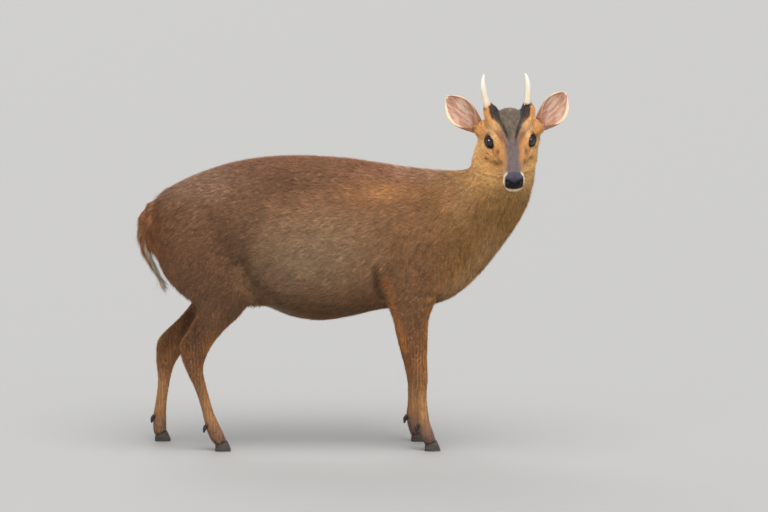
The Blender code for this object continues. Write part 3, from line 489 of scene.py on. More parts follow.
coatShades = {
    "chestnut": (156, 112, 76),
    "backBrown": (152, 108, 80),
    # The flank's brown, lighter and greyer in the middle with a painted sheen
    "flankSheen": (172, 140, 108),
    "haunch": (140, 99, 70),
    # Painted grey sheen on the top of the rump and along the withers
    "sheenGrey": (186, 150, 124),
    # Painted highlight on the side of the neck and along the breast's edge
    "neckHighlight": (226, 182, 130),
    "russet": (170, 102, 54),
    "shoulder": (158, 114, 74),
    # Painted highlight on the upper shoulder
    "withersHighlight": (200, 146, 92),
    # Painted shade, in the flank's hollows, along the lower flank, on the legs and under the chin
    "paintedShade": (112, 78, 54),
    # Painted shade in creases and folds
    "creaseShade": (74, 46, 28),
    "edge": (224, 146, 74),
    # The belly's tan darkened by painted shade
    "shadedBelly": (112, 80, 48),
    "neck": (166, 124, 78),
    "throat": (180, 136, 78),
    "cream": (226, 208, 178),
    "breastGold": (166, 122, 58),
    "legOrange": (158, 106, 64),
    "cannon": (196, 146, 100),
    "fetlock": (128, 104, 94),
    "faceOrange": (198, 140, 80),
    "faceGold": (244, 194, 126),
    "brow": (242, 200, 146),
    "foreheadGrey": (100, 88, 74),
    "mauve": (122, 94, 80),
    "bridgeGrey": (96, 85, 86),
    "stripe": (24, 21, 23),
    # Painted grey-blue sheen on the upper ends of the face's stripes
    "stripeSheen": (62, 60, 68),
    "spot": (118, 74, 26),
    "gland": (60, 40, 34),
    "muzzle": (182, 148, 110),
    "lip": (236, 218, 192),
    # The nose's grey-lilac top: its skin colour with a painted sheen from above; also the painted glints by
    # the nostrils
    "noseSheen": (70, 66, 80),
    "noseSkin": (14, 14, 17),
    "nape": (164, 116, 72),
    "white": (236, 228, 214),
    "tailRed": (206, 144, 98),
    "tailPale": (232, 196, 168),
}
coat = {name: linear(*shade) for name, shade in coatShades.items()}


def paint(colours, name, share):
    return mixed(colours, coat[name], np.clip(share, 0, 1))


# 1 in the middle of a soft round patch, fading to 0 round it
def blob(points, centre, size):
    return np.exp(-(((points - np.array(centre)) / np.array(size)) ** 2).sum(axis=1))


# Soft patches, each with its colour, middle, half sizes and share, where they are let show
def paintPatches(colours, places, patches, showing=1.0):
    for name, centre, size, share in patches:
        colours = paint(colours, name, blob(places, centre, size) * showing * share)
    return colours


# 1 on the head, fading to 0 where it passes into the neck
def faceShare(local):
    lx, ly, lz = local[:, 0], np.abs(local[:, 1]), local[:, 2]
    edge = lx + np.minimum(lz, 0) * 0.25
    return softStep(edge, -0.075, -0.048) * (ly < 0.085) * softStep(0.085 - np.abs(lz), 0.0, 0.02)


# A soft random field between -1 and 1 with patches of about the given size
def ripples(points, size, seed):
    draw = np.random.default_rng(seed)
    total = np.zeros(len(points))
    for _ in range(7):
        way = unit(draw.normal(0, 1, 3)) * tau / (size * draw.uniform(0.8, 2.0))
        total += np.sin(points @ way + draw.uniform(0, tau) + 1.3 * np.sin(points @ way[[1, 2, 0]] * 0.6))
    return np.tanh(total / 2.6)


bodyBands = {  # colour, half width, share, and the line it follows from the side
    # Painted shade in the crease behind the elbow
    "elbowCrease": ("creaseShade", 0.0065, 0.75, ((0.048, 0.350), (0.051, 0.312), (0.058, 0.286))),
    "elbowEdge": ("edge", 0.0065, 0.80, ((0.068, 0.322), (0.075, 0.296), (0.085, 0.250), (0.098, 0.195))),
    "foreEdge": ("edge", 0.0100, 0.30, ((0.200, 0.345), (0.168, 0.315), (0.151, 0.290), (0.146, 0.205))),
    # Painted highlight along the breast's edge
    "breastEdge": ("neckHighlight", 0.024, 0.50, ((0.262, 0.385), (0.230, 0.335), (0.185, 0.300))),
    "stifleEdge": ("edge", 0.0090, 0.55, ((-0.180, 0.262), (-0.215, 0.236), (-0.262, 0.190))),
    # Painted shade in the flank's fold, behind the knee, on the gaskin and behind the far hock
    "flankCrease": ("creaseShade", 0.012, 0.30, ((-0.158, 0.292), (-0.185, 0.330), (-0.195, 0.370))),
    "legCrease": ("creaseShade", 0.0060, 0.45, ((-0.300, 0.245), (-0.318, 0.205))),
    "gaskinShade": ("creaseShade", 0.020, 0.30, ((-0.285, 0.225), (-0.315, 0.190), (-0.312, 0.160))),
    "farHockShade": ("creaseShade", 0.016, 0.25, ((-0.330, 0.215), (-0.362, 0.175))),
    # Painted sheen along the withers
    "withersSheen": ("sheenGrey", 0.018, 0.45, ((0.095, 0.522), (0.165, 0.515))),
}
bodyPatches = {  # colour, middle, half sizes and share, all from the side
    "trunk": (
        # Painted sheen on the top of the rump
        ("sheenGrey", (-0.29, 0.505), (0.09, 0.045), 0.8),
        # Painted highlight on the upper shoulder
        ("withersHighlight", (0.060, 0.482), (0.085, 0.018), 0.60),
        ("haunch", (-0.27, 0.33), (0.09, 0.12), 0.8),
        # Painted shade in the hollow before the thigh and along the upper flank
        ("paintedShade", (-0.212, 0.395), (0.040, 0.060), 0.65),
        ("paintedShade", (-0.10, 0.505), (0.10, 0.028), 0.60),
    ),
    "ends": (
        ("shoulder", (0.12, 0.36), (0.07, 0.10), 0.7),
        ("russet", (-0.385, 0.37), (0.030, 0.09), 0.75),
    ),
    "neck": (
        # Painted highlight on the side of the neck
        ("neckHighlight", (0.205, 0.470), (0.022, 0.035), 0.35),
        ("russet", (0.240, 0.335), (0.030, 0.045), 0.5),
    ),
    # Painted shade on the gaskin
    "hock": (("paintedShade", (-0.285, 0.215), (0.030, 0.045), 0.55),),
    "breast": (("breastGold", (0.238, 0.345), (0.060, 0.065), 0.70),),
}
headGold = {"middle": (-0.045, 0, -0.02), "near": 0.075, "far": 0.150, "facing": (0.7, 0, 0.7)}
chinShade = {"middle": (0.030, 0, -0.105), "size": 0.035}


# Colours of trunk, neck and legs, painted one over the other, with painted sheen, highlights and shade among
# them
def bodyMarkings(points, normals):
    x, y, z = points[:, 0], np.abs(points[:, 1] - middle), points[:, 2]
    side = np.column_stack((x, z))
    colours = np.tile(coat["chestnut"], (len(points), 1))
    # The mid flank lighter and greyer, partly a painted sheen
    colours = paint(colours, "flankSheen", blob(side, (-0.08, 0.37), (0.15, 0.09)))
    colours = paint(colours, "backBrown", softStep(z, 0.42, 0.52) * (1 - softStep(x, 0.10, 0.18)) * 0.85)
    colours = paintPatches(colours, side, bodyPatches["trunk"])
    # Painted shade along the lower flank, before the belly
    low = (1 - softStep(z, 0.262, 0.325)) * softStep(z, 0.225, 0.25) * (1 - softStep(x, 0.03, 0.06))
    colours = paint(colours, "paintedShade", low * softStep(x, -0.26, -0.20) * 0.60)
    colours = paintPatches(colours, side, bodyPatches["ends"])
    # Painted shade under the belly, on its tan
    under = softStep(-normals[:, 2], 0.45, 0.92) * (1 - softStep(z, 0.27, 0.33)) * softStep(z, 0.18, 0.23)
    colours = paint(colours, "shadedBelly", under * 0.6)
    groin = blob(side, (-0.20, 0.25), (0.08, 0.05)) * softStep(0.06 - y, 0, 0.03)
    colours = paint(colours, "cream", under * groin)
    neckShare = softStep(x + (z - 0.45) * 0.35, 0.115, 0.205) * softStep(z, 0.29, 0.38)
    colours = paint(colours, "neck", neckShare)
    colours = paint(colours, "throat", neckShare * softStep(x - (0.52 - z) * 0.25, 0.205, 0.265))
    withers = softStep(z, 0.495, 0.515) * blob(x[:, None], (0.13,), (0.05,))
    colours = paint(colours, "backBrown", withers * 0.8)
    colours = paintPatches(colours, side, bodyPatches["neck"])
    leg, isFore = 1 - softStep(z, 0.17, 0.27), x > -0.1
    colours = paint(colours, "legOrange", leg)
    colours = paint(colours, "cannon", leg * blob(z[:, None], (0.095,), (0.05,)) * 0.85)
    front = x - np.where(isFore, 0.13, np.interp(z, (0.0, 0.18), (-0.30, -0.31)))
    # Painted shade on the front of each lower leg
    shin = softStep(front, 0.0, 0.03) * blob(z[:, None], (0.12,), (0.07,))
    colours = paint(colours, "paintedShade", leg * shin * 0.35)
    colours = paintPatches(colours, side, bodyPatches["hock"])
    colours = paint(colours, "fetlock", leg * (1 - softStep(z, 0.030, 0.066)) * np.where(isFore, 0.80, 0.50))
    colours = paintPatches(colours, side, bodyPatches["breast"])
    for name, width, share, path in bodyBands.values():
        colours = paint(colours, name, np.exp(-((distanceToPath(side, path) / width) ** 2)) * share)
    turned = softStep(np.abs(normals[:, 0]), 0.55, 0.92)
    turned = turned * softStep(z, 0.06, 0.11) * (1 - softStep(z, 0.24, 0.31))
    colours = paint(colours, "edge", turned * 0.35)
    headAway = np.linalg.norm(points - fromHead(headGold["middle"]), axis=1)
    frontSide = softStep(normals @ (headAxes @ np.array(headGold["facing"])), -0.45, 0.20)
    gold = (1 - softStep(headAway, headGold["near"], headGold["far"])) * frontSide
    colours = paint(colours, "faceGold", gold * 0.85)
    # Painted shade on the throat under the chin
    chinAway = np.linalg.norm(points - fromHead(chinShade["middle"]), axis=1)
    colours = paint(colours, "paintedShade", np.exp(-((chinAway / chinShade["size"]) ** 2)) * 0.6)
    return colours * (1 + 0.08 * ripples(points, 0.045, 5) + 0.05 * ripples(points, 0.016, 6))[:, None]


stripeLine = {
    "along": (-0.062, -0.050, -0.030, -0.018, -0.010, 0.000, 0.010, 0.020, 0.030),
    "aside": (0.0297, 0.0290, 0.0282, 0.0266, 0.0222, 0.0162, 0.0122, 0.0090, 0.0068),
    "half": (0.0098, 0.0098, 0.0094, 0.0082, 0.0062, 0.0046, 0.0037, 0.0025, 0.0010),
}
cheekSpots = (  # colour, place on the face as seen from the front, half sizes, share
    ("spot", (0.0400, -0.0300), (0.0050, 0.0042), 0.80),
    ("spot", (0.0226, -0.0400), (0.0056, 0.0048), 0.85),
    ("spot", (0.0310, -0.0370), (0.0040, 0.0032), 0.45),
    ("spot", (0.0330, -0.0180), (0.0034, 0.0022), 0.40),
)
tearSlit = {"at": (0.0255, -0.0205), "size": (0.0022, 0.0050), "share": 0.85}
browPatches = (
    ("brow", (0.000, 0.029, 0.018), (0.016, 0.009, 0.007), 0.75),
    ("brow", (0.002, 0.040, -0.017), (0.020, 0.010, 0.005), 0.55),
)


# Colours of the face, painted one over the other, with a painted sheen on the stripes and the nose and
# painted shade in the nostrils
def faceMarkings(local):
    folded, seen = oneSide(local), seenFace(local)
    (lx, ly, lz), upFace = folded.T, seen[:, 1]
    face = np.tile(coat["faceOrange"], (len(local), 1))
    face = paint(face, "nape", 1 - softStep(lx, -0.070, -0.035))
    face = paint(face, "faceGold", softStep(-lz, 0.006, 0.022) * 0.85)
    face = paintPatches(face, folded, browPatches)
    under = softStep(-lz, 0.030, 0.044) * softStep(0.024 - ly, -0.004, 0.006)
    face = paint(face, "cream", under * 0.35)
    face = paint(face, "muzzle", softStep(lx, 0.060, 0.086) * (1 - softStep(-lz, 0.020, 0.030)) * 0.8)
    top = softStep(lz, -0.010, 0.006)
    wide = np.interp(lx, (-0.015, 0.010, 0.030, 0.060, 0.100), (0.026, 0.023, 0.0165, 0.0115, 0.0135))
    face = paint(face, "mauve", top * softStep(wide - ly, -0.006, 0.006) * softStep(lx, -0.018, 0.012) * 0.85)
    halfBridge = np.interp(lx, (0.0, 0.03, 0.06, 0.10), (0.0065, 0.0075, 0.0078, 0.0125))
    beside = softStep(halfBridge + 0.0065 - ly, -0.0060, 0.0050) * softStep(lx, 0.015, 0.045)
    face = paint(face, "mauve", top * beside * 0.45)
    bridge = top * softStep(halfBridge - ly, -0.0060, 0.0030) * softStep(lx, 0.000, 0.030)
    face = paint(face, "bridgeGrey", bridge * 0.95)
    stripeMiddle = np.interp(lx, stripeLine["along"], stripeLine["aside"])
    stripeHalf = np.interp(lx, stripeLine["along"], stripeLine["half"])
    above = softStep(lz, 0.006, 0.014) * softStep(lx, -0.066, -0.056) * (1 - softStep(lx, 0.020, 0.036))
    face = paint(face, "foreheadGrey", above * softStep(stripeMiddle - ly, -0.003, 0.003))
    line = above * softStep(stripeHalf - np.abs(ly - stripeMiddle), -0.0018, 0.0018)
    face = paint(face, "stripe", line * 0.95)
    # Painted grey-blue sheen on the upper ends of the stripes
    face = paint(face, "stripeSheen", line * (1 - softStep(lx, -0.058, -0.040)) * 0.30)
    behind = (1 - softStep(lx, -0.066, -0.050)) * softStep(lz, 0.0, 0.02)
    face = paint(face, "nape", behind * softStep(0.032 - ly, -0.006, 0.006) * 0.8)
    face = paint(face, "brow", blob(seen, (0.0345, 0.0250), (0.0110, 0.0100)) * 0.6)
    slit = blob(seen, tearSlit["at"], tearSlit["size"]) * softStep(lx, -0.030, -0.012)
    face = paint(face, "gland", slit * tearSlit["share"])
    lips = softStep(lx, 0.078, 0.090) * softStep(0.0060 - np.abs(lz + 0.0225), -0.003, 0.003)
    face = paint(face, "lip", lips * 0.8)
    face = paint(face, "lip", softStep(lx, 0.084, 0.092) * softStep(ly, 0.0105, 0.0150) * 0.75)
    crown = above * softStep(stripeMiddle - stripeHalf - ly, -0.001, 0.002)
    face = face * (1 + 0.10 * ripples(local, 0.011, 8) + 0.22 * crown * ripples(local, 0.0045, 9))[:, None]
    mouth = softStep(0.0016 - distanceToPath(folded, grooves["mouthLine"]["path"]), 0, 0.0010)
    face = paint(face, "gland", mouth * 0.9)
    face = paint(face, "gland", (1 - softStep(fromEye(local), 0.0155, 0.0182)) * 0.9)
    bare = barePart(local)
    face = paint(face, "noseSkin", bare)
    # The nose's top lighter: its grey-lilac skin with a painted sheen from above
    noseSheenShare = softStep(upFace - 14 * ly**2 + 0.0012 * ripples(local, 0.006, 10), -0.0790, -0.0690)
    notch = 1 - 0.45 * blob(seen, (0.0, -0.0665), (0.0020, 0.0040))
    face = paint(face, "noseSheen", bare * noseSheenShare * notch)
    # A painted glint beside each nostril
    face = paint(face, "noseSheen", bare * blob(seen, (0.0125, -0.0765), (0.0016, 0.0020)) * 0.8)
    # The nostrils darker still, painted shade in their hollows
    nostril = softStep(0.0032 - distanceToPath(folded, grooves["nostril"]["path"]), 0, 0.0018)
    return mixed(face, coat["noseSkin"] * 0.4, nostril * bare)


# The coat's colour at each place
def markings(points, normals):
    local = inHead(points)
    colours = mixed(bodyMarkings(points, normals), faceMarkings(local), faceShare(local))
    forward = softStep(local[:, 0], -0.085, -0.065)
    return paintPatches(colours, seenFace(local), cheekSpots, forward)


# 1 on the bare wet skin of the nose, 0 elsewhere
def barePart(local):
    lx, ly, lz = local[:, 0], np.abs(local[:, 1]), local[:, 2]
    front = softStep(lx + np.maximum(lz, 0) * 0.4, 0.0955, 0.0985)
    return front * softStep(lz, -0.0200, -0.0180) * softStep(0.0170 - ly, -0.001, 0.001)


# How the hair lies: places and the way it points there, mirrored to the other side

lieInBody = (
    ((-0.05, 0, 0.55), (-1, 0, -0.05)),
    ((0.1, 0, 0.53), (-1, 0, 0)),
    ((-0.24, 0, 0.53), (-0.95, 0, -0.3)),
    ((-0.34, 0, 0.48), (-0.75, 0, -0.65)),
    ((-0.39, 0, 0.42), (-0.25, 0, -1)),
    ((-0.37, 0, 0.34), (0.15, 0, -1)),
    ((-0.37, 0.05, 0.42), (-0.45, 0.2, -0.9)),
    ((-0.36, 0.05, 0.33), (-0.15, 0, -1)),
    ((-0.28, 0.1, 0.42), (-0.85, 0, -0.55)),
    ((-0.26, 0.1, 0.33), (-0.62, 0, -0.8)),
    ((-0.14, 0.12, 0.44), (-1, 0, -0.32)),
    ((0, 0.13, 0.44), (-1, 0, -0.32)),
    ((-0.12, 0.13, 0.34), (-0.95, 0, -0.45)),
    ((0.02, 0.13, 0.33), (-0.9, 0, -0.5)),
    ((-0.08, 0.06, 0.25), (-1, 0, -0.12)),
    ((0.08, 0.04, 0.27), (-0.9, 0, -0.2)),
    ((0.12, 0.1, 0.46), (-0.85, 0, -0.55)),
    ((0.13, 0.1, 0.36), (-0.5, 0, -0.9)),
    ((0.17, 0.08, 0.3), (-0.35, 0, -1)),
    ((0.2, 0.06, 0.42), (-0.62, 0, -0.85)),
    ((0.23, 0.02, 0.36), (-0.3, 0, -1)),
    ((0.22, 0.04, 0.5), (-0.75, 0, -0.7)),
    ((0.2, 0, 0.53), (-0.95, 0, -0.25)),
    ((0.27, 0.04, 0.44), (-0.3, 0, -1)),
    ((0.11, 0.06, 0.22), (-0.1, 0, -1)),
    ((0.12, 0.06, 0.08), (-0.05, 0, -1)),
    ((-0.23, 0.07, 0.24), (-0.35, 0, -0.95)),
    ((-0.32, 0.07, 0.17), (-0.15, 0, -1)),
    ((-0.25, 0.07, 0.08), (0.12, 0, -1)),
    ((-0.36, 0.07, 0.08), (0.05, 0, -1)),
)
lieInHead = (
    ((0.095, 0, 0.004), (-1, 0, 0.2)),
    ((0.06, 0, 0.012), (-1, 0, 0.2)),
    ((0.025, 0, 0.024), (-1, 0, 0.3)),
    ((-0.02, 0, 0.04), (-1, 0, 0.1)),
    ((-0.05, 0, 0.036), (-1, 0, -0.2)),
    ((-0.085, 0, 0.02), (-0.9, 0, -0.5)),
    ((-0.02, 0.028, 0.036), (-1, 0.25, 0.4)),
    ((-0.05, 0.036, 0.04), (-1, 0.1, 0.6)),
    ((0.02, 0.03, 0.006), (-1, 0.6, 0.3)),
    ((-0.012, 0.04, 0.02), (-1, 0.5, 0.2)),
    ((0.03, 0.036, -0.018), (-1, 0.3, -0.3)),
    ((-0.01, 0.048, -0.02), (-1, 0.2, -0.4)),
    ((-0.04, 0.052, -0.02), (-1, 0.2, -0.6)),
    ((0.07, 0.02, -0.014), (-1, 0.3, -0.2)),
    ((0.06, 0.01, -0.034), (-1, 0, -0.3)),
    ((0, 0.01, -0.05), (-1, 0, -0.5)),
    ((-0.05, 0.03, -0.06), (-1, 0, -0.9)),
)


def lieAnchors():
    places, ways = [], []
    for rows, inFace in ((lieInBody, False), (lieInHead, True)):
        for place, way in rows:
            for sign in (-1, 1):
                at, along = (np.array((v[0], v[1] * sign, v[2]), float) for v in (place, way))
                places.append(fromHead(at) if inFace else at + np.array((0, middle, 0)))
                ways.append(headAxes @ along if inFace else along)
    return np.array(places), unit(np.array(ways))


anchorPlaces, anchorWays = lieAnchors()
lieReach = 0.0004  # square metres, so that no anchor rules alone


# The way the hair points at each place, along the surface
def lieOfHair(points, normals):
    total = np.zeros((len(points), 3))
    for place, way in zip(anchorPlaces, anchorWays):
        away = ((points - place) ** 2).sum(axis=1)
        total += way / (away + lieReach)[:, None] ** 2
    total = unit(total)
    total -= normals * (total * normals).sum(axis=1)[:, None]
    return unit(total)


def addColours(mesh, colours):
    layer = mesh.attributes.new("markings", "FLOAT_COLOR", "POINT")
    full = np.column_stack((colours, np.ones(len(colours)))).astype(np.float32)
    layer.data.foreach_set("color", full.ravel())


# Finishes. The fine hair of the skin is a bump drawn out along one tilted way

def newMaterial(name, roughness):
    made = bpy.data.materials.new(name)
    made.use_nodes = True
    shader = made.node_tree.nodes["Principled BSDF"]
    shader.inputs["Roughness"].default_value = roughness
    return made, made.node_tree.nodes, made.node_tree.links, shader


# Streaks of light and dark, and their height: fine hair, rings of horn, or the grain of skin
def streakGroup():
    group = bpy.data.node_groups.new("streaks", "ShaderNodeTree")
    inputs = {"Place": "Vector", "Fineness": "Vector", "Detail": "Float", "Roughness": "Float"}
    for socket, kind in inputs.items():
        group.interface.new_socket(socket, in_out="INPUT", socket_type="NodeSocket" + kind)
    group.interface.new_socket("Streak", in_out="OUTPUT", socket_type="NodeSocketFloat")
    start, end = group.nodes.new("NodeGroupInput"), group.nodes.new("NodeGroupOutput")
    stretch = group.nodes.new("ShaderNodeVectorMath")
    stretch.operation = "MULTIPLY"
    group.links.new(start.outputs["Place"], stretch.inputs[0])
    group.links.new(start.outputs["Fineness"], stretch.inputs[1])
    noise = group.nodes.new("ShaderNodeTexNoise")
    noise.inputs["Scale"].default_value = 1.0
    group.links.new(stretch.outputs["Vector"], noise.inputs["Vector"])
    group.links.new(start.outputs["Detail"], noise.inputs["Detail"])
    group.links.new(start.outputs["Roughness"], noise.inputs["Roughness"])
    group.links.new(noise.outputs["Fac"], end.inputs["Streak"])
    return group


streaks = streakGroup()
finishes = {  # streaks to a metre each way, how far they are turned, their detail and roughness, and the bump
    "skinFur": dict(fineness=(90, 900, 900), turn=radians(-22), detail=2, rough=0.6, bump=0.5, height=0.0006),
    "coatFur": dict(fineness=(60, 400, 400), turn=radians(-22), detail=2, rough=0.6, bump=0.0, height=0.0006),
    "lidSkin": dict(fineness=(900, 900, 900), turn=0, detail=3, rough=0.5, bump=0.4, height=0.0004),
    "antlerBone": dict(fineness=(420, 420, 105), turn=0, detail=3, rough=0.5, bump=0.35, height=0.0006),
    "horn": dict(fineness=(60, 60, 840), turn=0, detail=3, rough=0.5, bump=0.5, height=0.0008),
    "earSkin": dict(fineness=(500, 500, 500), turn=0, detail=3, rough=0.5, bump=0.35, height=0.0005),
}


# Puts the streaks of a finish in a material, on its Object coordinates, and raises them as a bump
def addStreaks(finish, parts, links, shader):
    look = finishes[finish]
    place = parts.new("ShaderNodeTexCoord")
    turned = parts.new("ShaderNodeMapping")
    turned.inputs["Rotation"].default_value = (0, look["turn"], 0)
    made = parts.new("ShaderNodeGroup")
    made.node_tree = streaks
    made.inputs["Fineness"].default_value = look["fineness"]
    made.inputs["Detail"].default_value = look["detail"]
    made.inputs["Roughness"].default_value = look["rough"]
    rise = parts.new("ShaderNodeBump")
    rise.inputs["Strength"].default_value = look["bump"]
    rise.inputs["Distance"].default_value = look["height"]
    links.new(place.outputs["Object"], turned.inputs["Vector"])
    links.new(turned.outputs["Vector"], made.inputs["Place"])
    links.new(made.outputs["Streak"], rise.inputs["Height"])
    links.new(rise.outputs["Normal"], shader.inputs["Normal"])
    return made.outputs["Streak"]


# A material coloured by the piece's own markings
def markedMaterial(name, roughness):
    made, parts, links, shader = newMaterial(name, roughness)
    colour = parts.new("ShaderNodeAttribute")
    colour.attribute_name = "markings"
    links.new(colour.outputs["Color"], shader.inputs["Base Color"])
    return made, parts, links, shader


# Short fur: the markings, lighter and darker along the streaks of the hair
def furMaterial(name, roughness, sheen):
    made, parts, links, shader = markedMaterial(name, roughness)
    shader.inputs["Sheen Weight"].default_value = sheen
    shader.inputs["Sheen Roughness"].default_value = 0.45
    shader.inputs["Sheen Tint"].default_value = (1.0, 0.90, 0.80, 1)
    shader.inputs["Specular IOR Level"].default_value = 0.18
    streak = addStreaks(name, parts, links, shader)
    spread = parts.new("ShaderNodeMapRange")
    for socket, value in (("From Min", 0.3), ("From Max", 0.7), ("To Min", 0.72), ("To Max", 1.30)):
        spread.inputs[socket].default_value = value
    links.new(streak, spread.inputs["Value"])
    tone = parts.new("ShaderNodeVectorMath")
    tone.operation = "SCALE"
    links.new(parts["Attribute"].outputs["Color"], tone.inputs[0])
    links.new(spread.outputs["Result"], tone.inputs["Scale"])
    links.new(tone.outputs["Vector"], shader.inputs["Base Color"])
    return made


skinFur = furMaterial("skinFur", 0.75, 0.10)
addColours(skin.data, markings(pointsOf(skin.data), normalsOf(skin.data)))
skin.data.materials.append(skinFur)
finishPiece(skin, "body_fur", *fleshNodes, "tail")
print("skin coloured")


# Eyes, with black lid edges and lashes

eyeForm = {
    "facing": Vector((0.79, 0.54, 0.29)),
    "slant": 0.75,
    "opening": (0.0126, 0.0116),
    "tearCorner": 0.0022,
    "lidEdge": 0.0012,
    "lidSteps": 40,
    "sunk": 0.985,
}
eyeShades = {"white": linear(34, 22, 18), "iris": linear(26, 15, 9), "pupil": linear(4, 4, 7)}


# The frame of an eye: x along the opening towards the nose, y up across it, z out
def eyePlace(side):
    sign = 1 if side == "left" else -1
    facing = Vector((eyeForm["facing"].x, eyeForm["facing"].y * sign, eyeForm["facing"].z)).normalized()
    along = Vector((1, 0, -eyeForm["slant"]))
    along = (along - facing * along.dot(facing)).normalized()
    turn = Matrix((along, facing.cross(along), facing)).transposed().to_4x4()
    return Matrix.Translation(eyes[side]) @ headTurn @ turn


def makeEye(side):
    deselectAll()
    bpy.ops.mesh.primitive_uv_sphere_add(segments=48, ring_count=32, radius=eyeRadius * eyeForm["sunk"])
    eye = bpy.context.object
    eye.name = "eyeball_" + side
    local = pointsOf(eye.data)
    out = local[:, 2] / np.linalg.norm(local, axis=1)
    pupil = 1 - softStep(np.hypot(local[:, 0] * 0.75, local[:, 1] * 1.25) / eyeRadius, 0.34, 0.40)
    iris = softStep(out, 0.55, 0.62)
    shade = mixed(np.tile(eyeShades["white"], (len(local), 1)), eyeShades["iris"], iris)
    shade = mixed(shade, eyeShades["pupil"], pupil * (out > 0))
    addColours(eye.data, shade)
    eye.data.transform(eyePlace(side))
    eye.data.shade_smooth()
    finishPiece(eye, "eye_gloss", "eye_" + side)
    return eye


# The bare black edge round the opening, thicker along the upper lid and drawn out to the tear duct
def makeLids(side):
    steps = eyeForm["lidSteps"]
    rim = bpy.data.curves.new("lids_" + side, "CURVE")
    rim.dimensions = "3D"
    rim.bevel_depth = eyeForm["lidEdge"]
    rim.bevel_resolution = 3
    line = rim.splines.new("POLY")
    line.points.add(steps - 1)
    line.use_cyclic_u = True
    for i, point in enumerate(line.points):
        angle = tau * i / steps
        x, y = eyeForm["opening"][0] * cos(angle), eyeForm["opening"][1] * sin(angle)
        x += eyeForm["tearCorner"] * max(cos(angle), 0) ** 8
        out = max((eyeRadius + 0.0004) ** 2 - x * x - y * y, 0.0000140) ** 0.5
        point.co = (x, y, out, 1)
        point.radius = 1.0 + 0.45 * max(sin(angle), 0) + 0.1 * abs(cos(angle))
    holder = bpy.data.objects.new("lids_" + side, rim)
    bpy.context.scene.collection.objects.link(holder)
    makeActive(holder)
    bpy.ops.object.convert(target="MESH")
    lids = bpy.context.object
    bpy.ops.object.mode_set(mode="EDIT")
    bpy.ops.mesh.select_all(action="SELECT")
    bpy.ops.mesh.remove_doubles(threshold=0.00001)
    bpy.ops.mesh.normals_make_consistent(inside=False)
    bpy.ops.object.mode_set(mode="OBJECT")
    lids.data.transform(eyePlace(side))
    lids.data.shade_smooth()
    finishPiece(lids, "nose_skin")
    return lids


eyeWet, *_, eyeShader = markedMaterial("eyeWet", 0.05)
eyeShader.inputs["Specular IOR Level"].default_value = 0.8
lidSkin, lidParts, lidLinks, lidShader = newMaterial("lidSkin", 0.38)
lidShader.inputs["Base Color"].default_value = (0.016, 0.012, 0.012, 1)
addStreaks("lidSkin", lidParts, lidLinks, lidShader)
for side in sides:
    makeEye(side).data.materials.append(eyeWet)
    makeLids(side).data.materials.append(lidSkin)
print("eyes made")


# Antlers: smooth spikes, ivory at the tip and brown in the grooves of the foot

# A CAD node's shape rounded off
def smoothCopy(node, name, levels=2):
    piece = plainCopy(node, name)
    addModifier(piece, "SUBSURF", levels=levels, render_levels=levels)
    piece.data.shade_smooth()
    return piece


antler = {"tip": linear(228, 223, 212), "mid": linear(214, 200, 178), "foot": linear(178, 142, 108)}
antlerBone, *boneParts = markedMaterial("antlerBone", 0.34)
addStreaks("antlerBone", *boneParts)
for side in sides:
    spike = smoothCopy("antler_" + side, "spike_" + side)
    up = seenFace(inHead(pointsOf(spike.data)))[:, 1]
    share = (up - up.min()) / (up.max() - up.min())
    shade = mixed(np.tile(antler["foot"], (len(up), 1)), antler["mid"], softStep(share, 0.0, 0.32))
    addColours(spike.data, mixed(shade, antler["tip"], softStep(share, 0.35, 0.9)))
    spike.data.materials.append(antlerBone)
    finishPiece(spike, "antler_bone", "antler_" + side)
print("antlers made")


# Hooves: the CAD's own claws, with the growth rings of horn

horn = {
    "hoof": dict(dark=(0.020, 0.016, 0.014, 1), pale=(0.100, 0.080, 0.066, 1), roughness=0.42),
    "dewclaw": dict(dark=(0.010, 0.007, 0.006, 1), pale=(0.040, 0.027, 0.020, 1), roughness=0.50),
}


# Growth rings of dark and pale horn
def hornMaterial(kind):
    look = horn[kind]
    made, parts, links, shader = newMaterial(kind + "Horn", look["roughness"])
    rings = addStreaks("horn", parts, links, shader)
    ramp = parts.new("ShaderNodeValToRGB")
    for stop, position, shade in zip(ramp.color_ramp.elements, (0.3, 0.7), (look["dark"], look["pale"])):
        stop.position = position
        stop.color = shade
    links.new(rings, ramp.inputs["Fac"])
    links.new(ramp.outputs["Color"], shader.inputs["Base Color"])
    return made


for kind in horn:
    finish = hornMaterial(kind)
    for name, obj in nodes.items():
        if name.startswith(kind):
            obj.data.materials.clear()
            obj.data.materials.append(finish)
print("hooves made")


# Ears: thin cups, pink inside with pale hair, furred behind

earForm = {
    "root": Vector((-0.0440, 0.0580, -0.0050)),
    "along": Vector((-0.750, 0.625, 0.222)).normalized(),
    "opens": Vector((0.54, 0.36, 0.761)).normalized(),
    "length": 0.091,
    "focus": 0.020,
    "shares": (0.0, 0.1, 0.2, 0.3, 0.42, 0.55, 0.7, 0.85, 0.95, 1.0),
    "halfWidths": (0.0125, 0.0169, 0.0205, 0.0232, 0.0256, 0.0246, 0.0205, 0.0126, 0.0059, 0.0013),
}
earShades = {
    "pink": linear(178, 126, 100),
    "deepPink": linear(150, 88, 66),
    "pale": linear(212, 186, 166),
    "rim": linear(232, 208, 176),
    "brown": linear(158, 104, 76),
    "darkRim": linear(110, 84, 68),
    "back": linear(156, 108, 72),
}


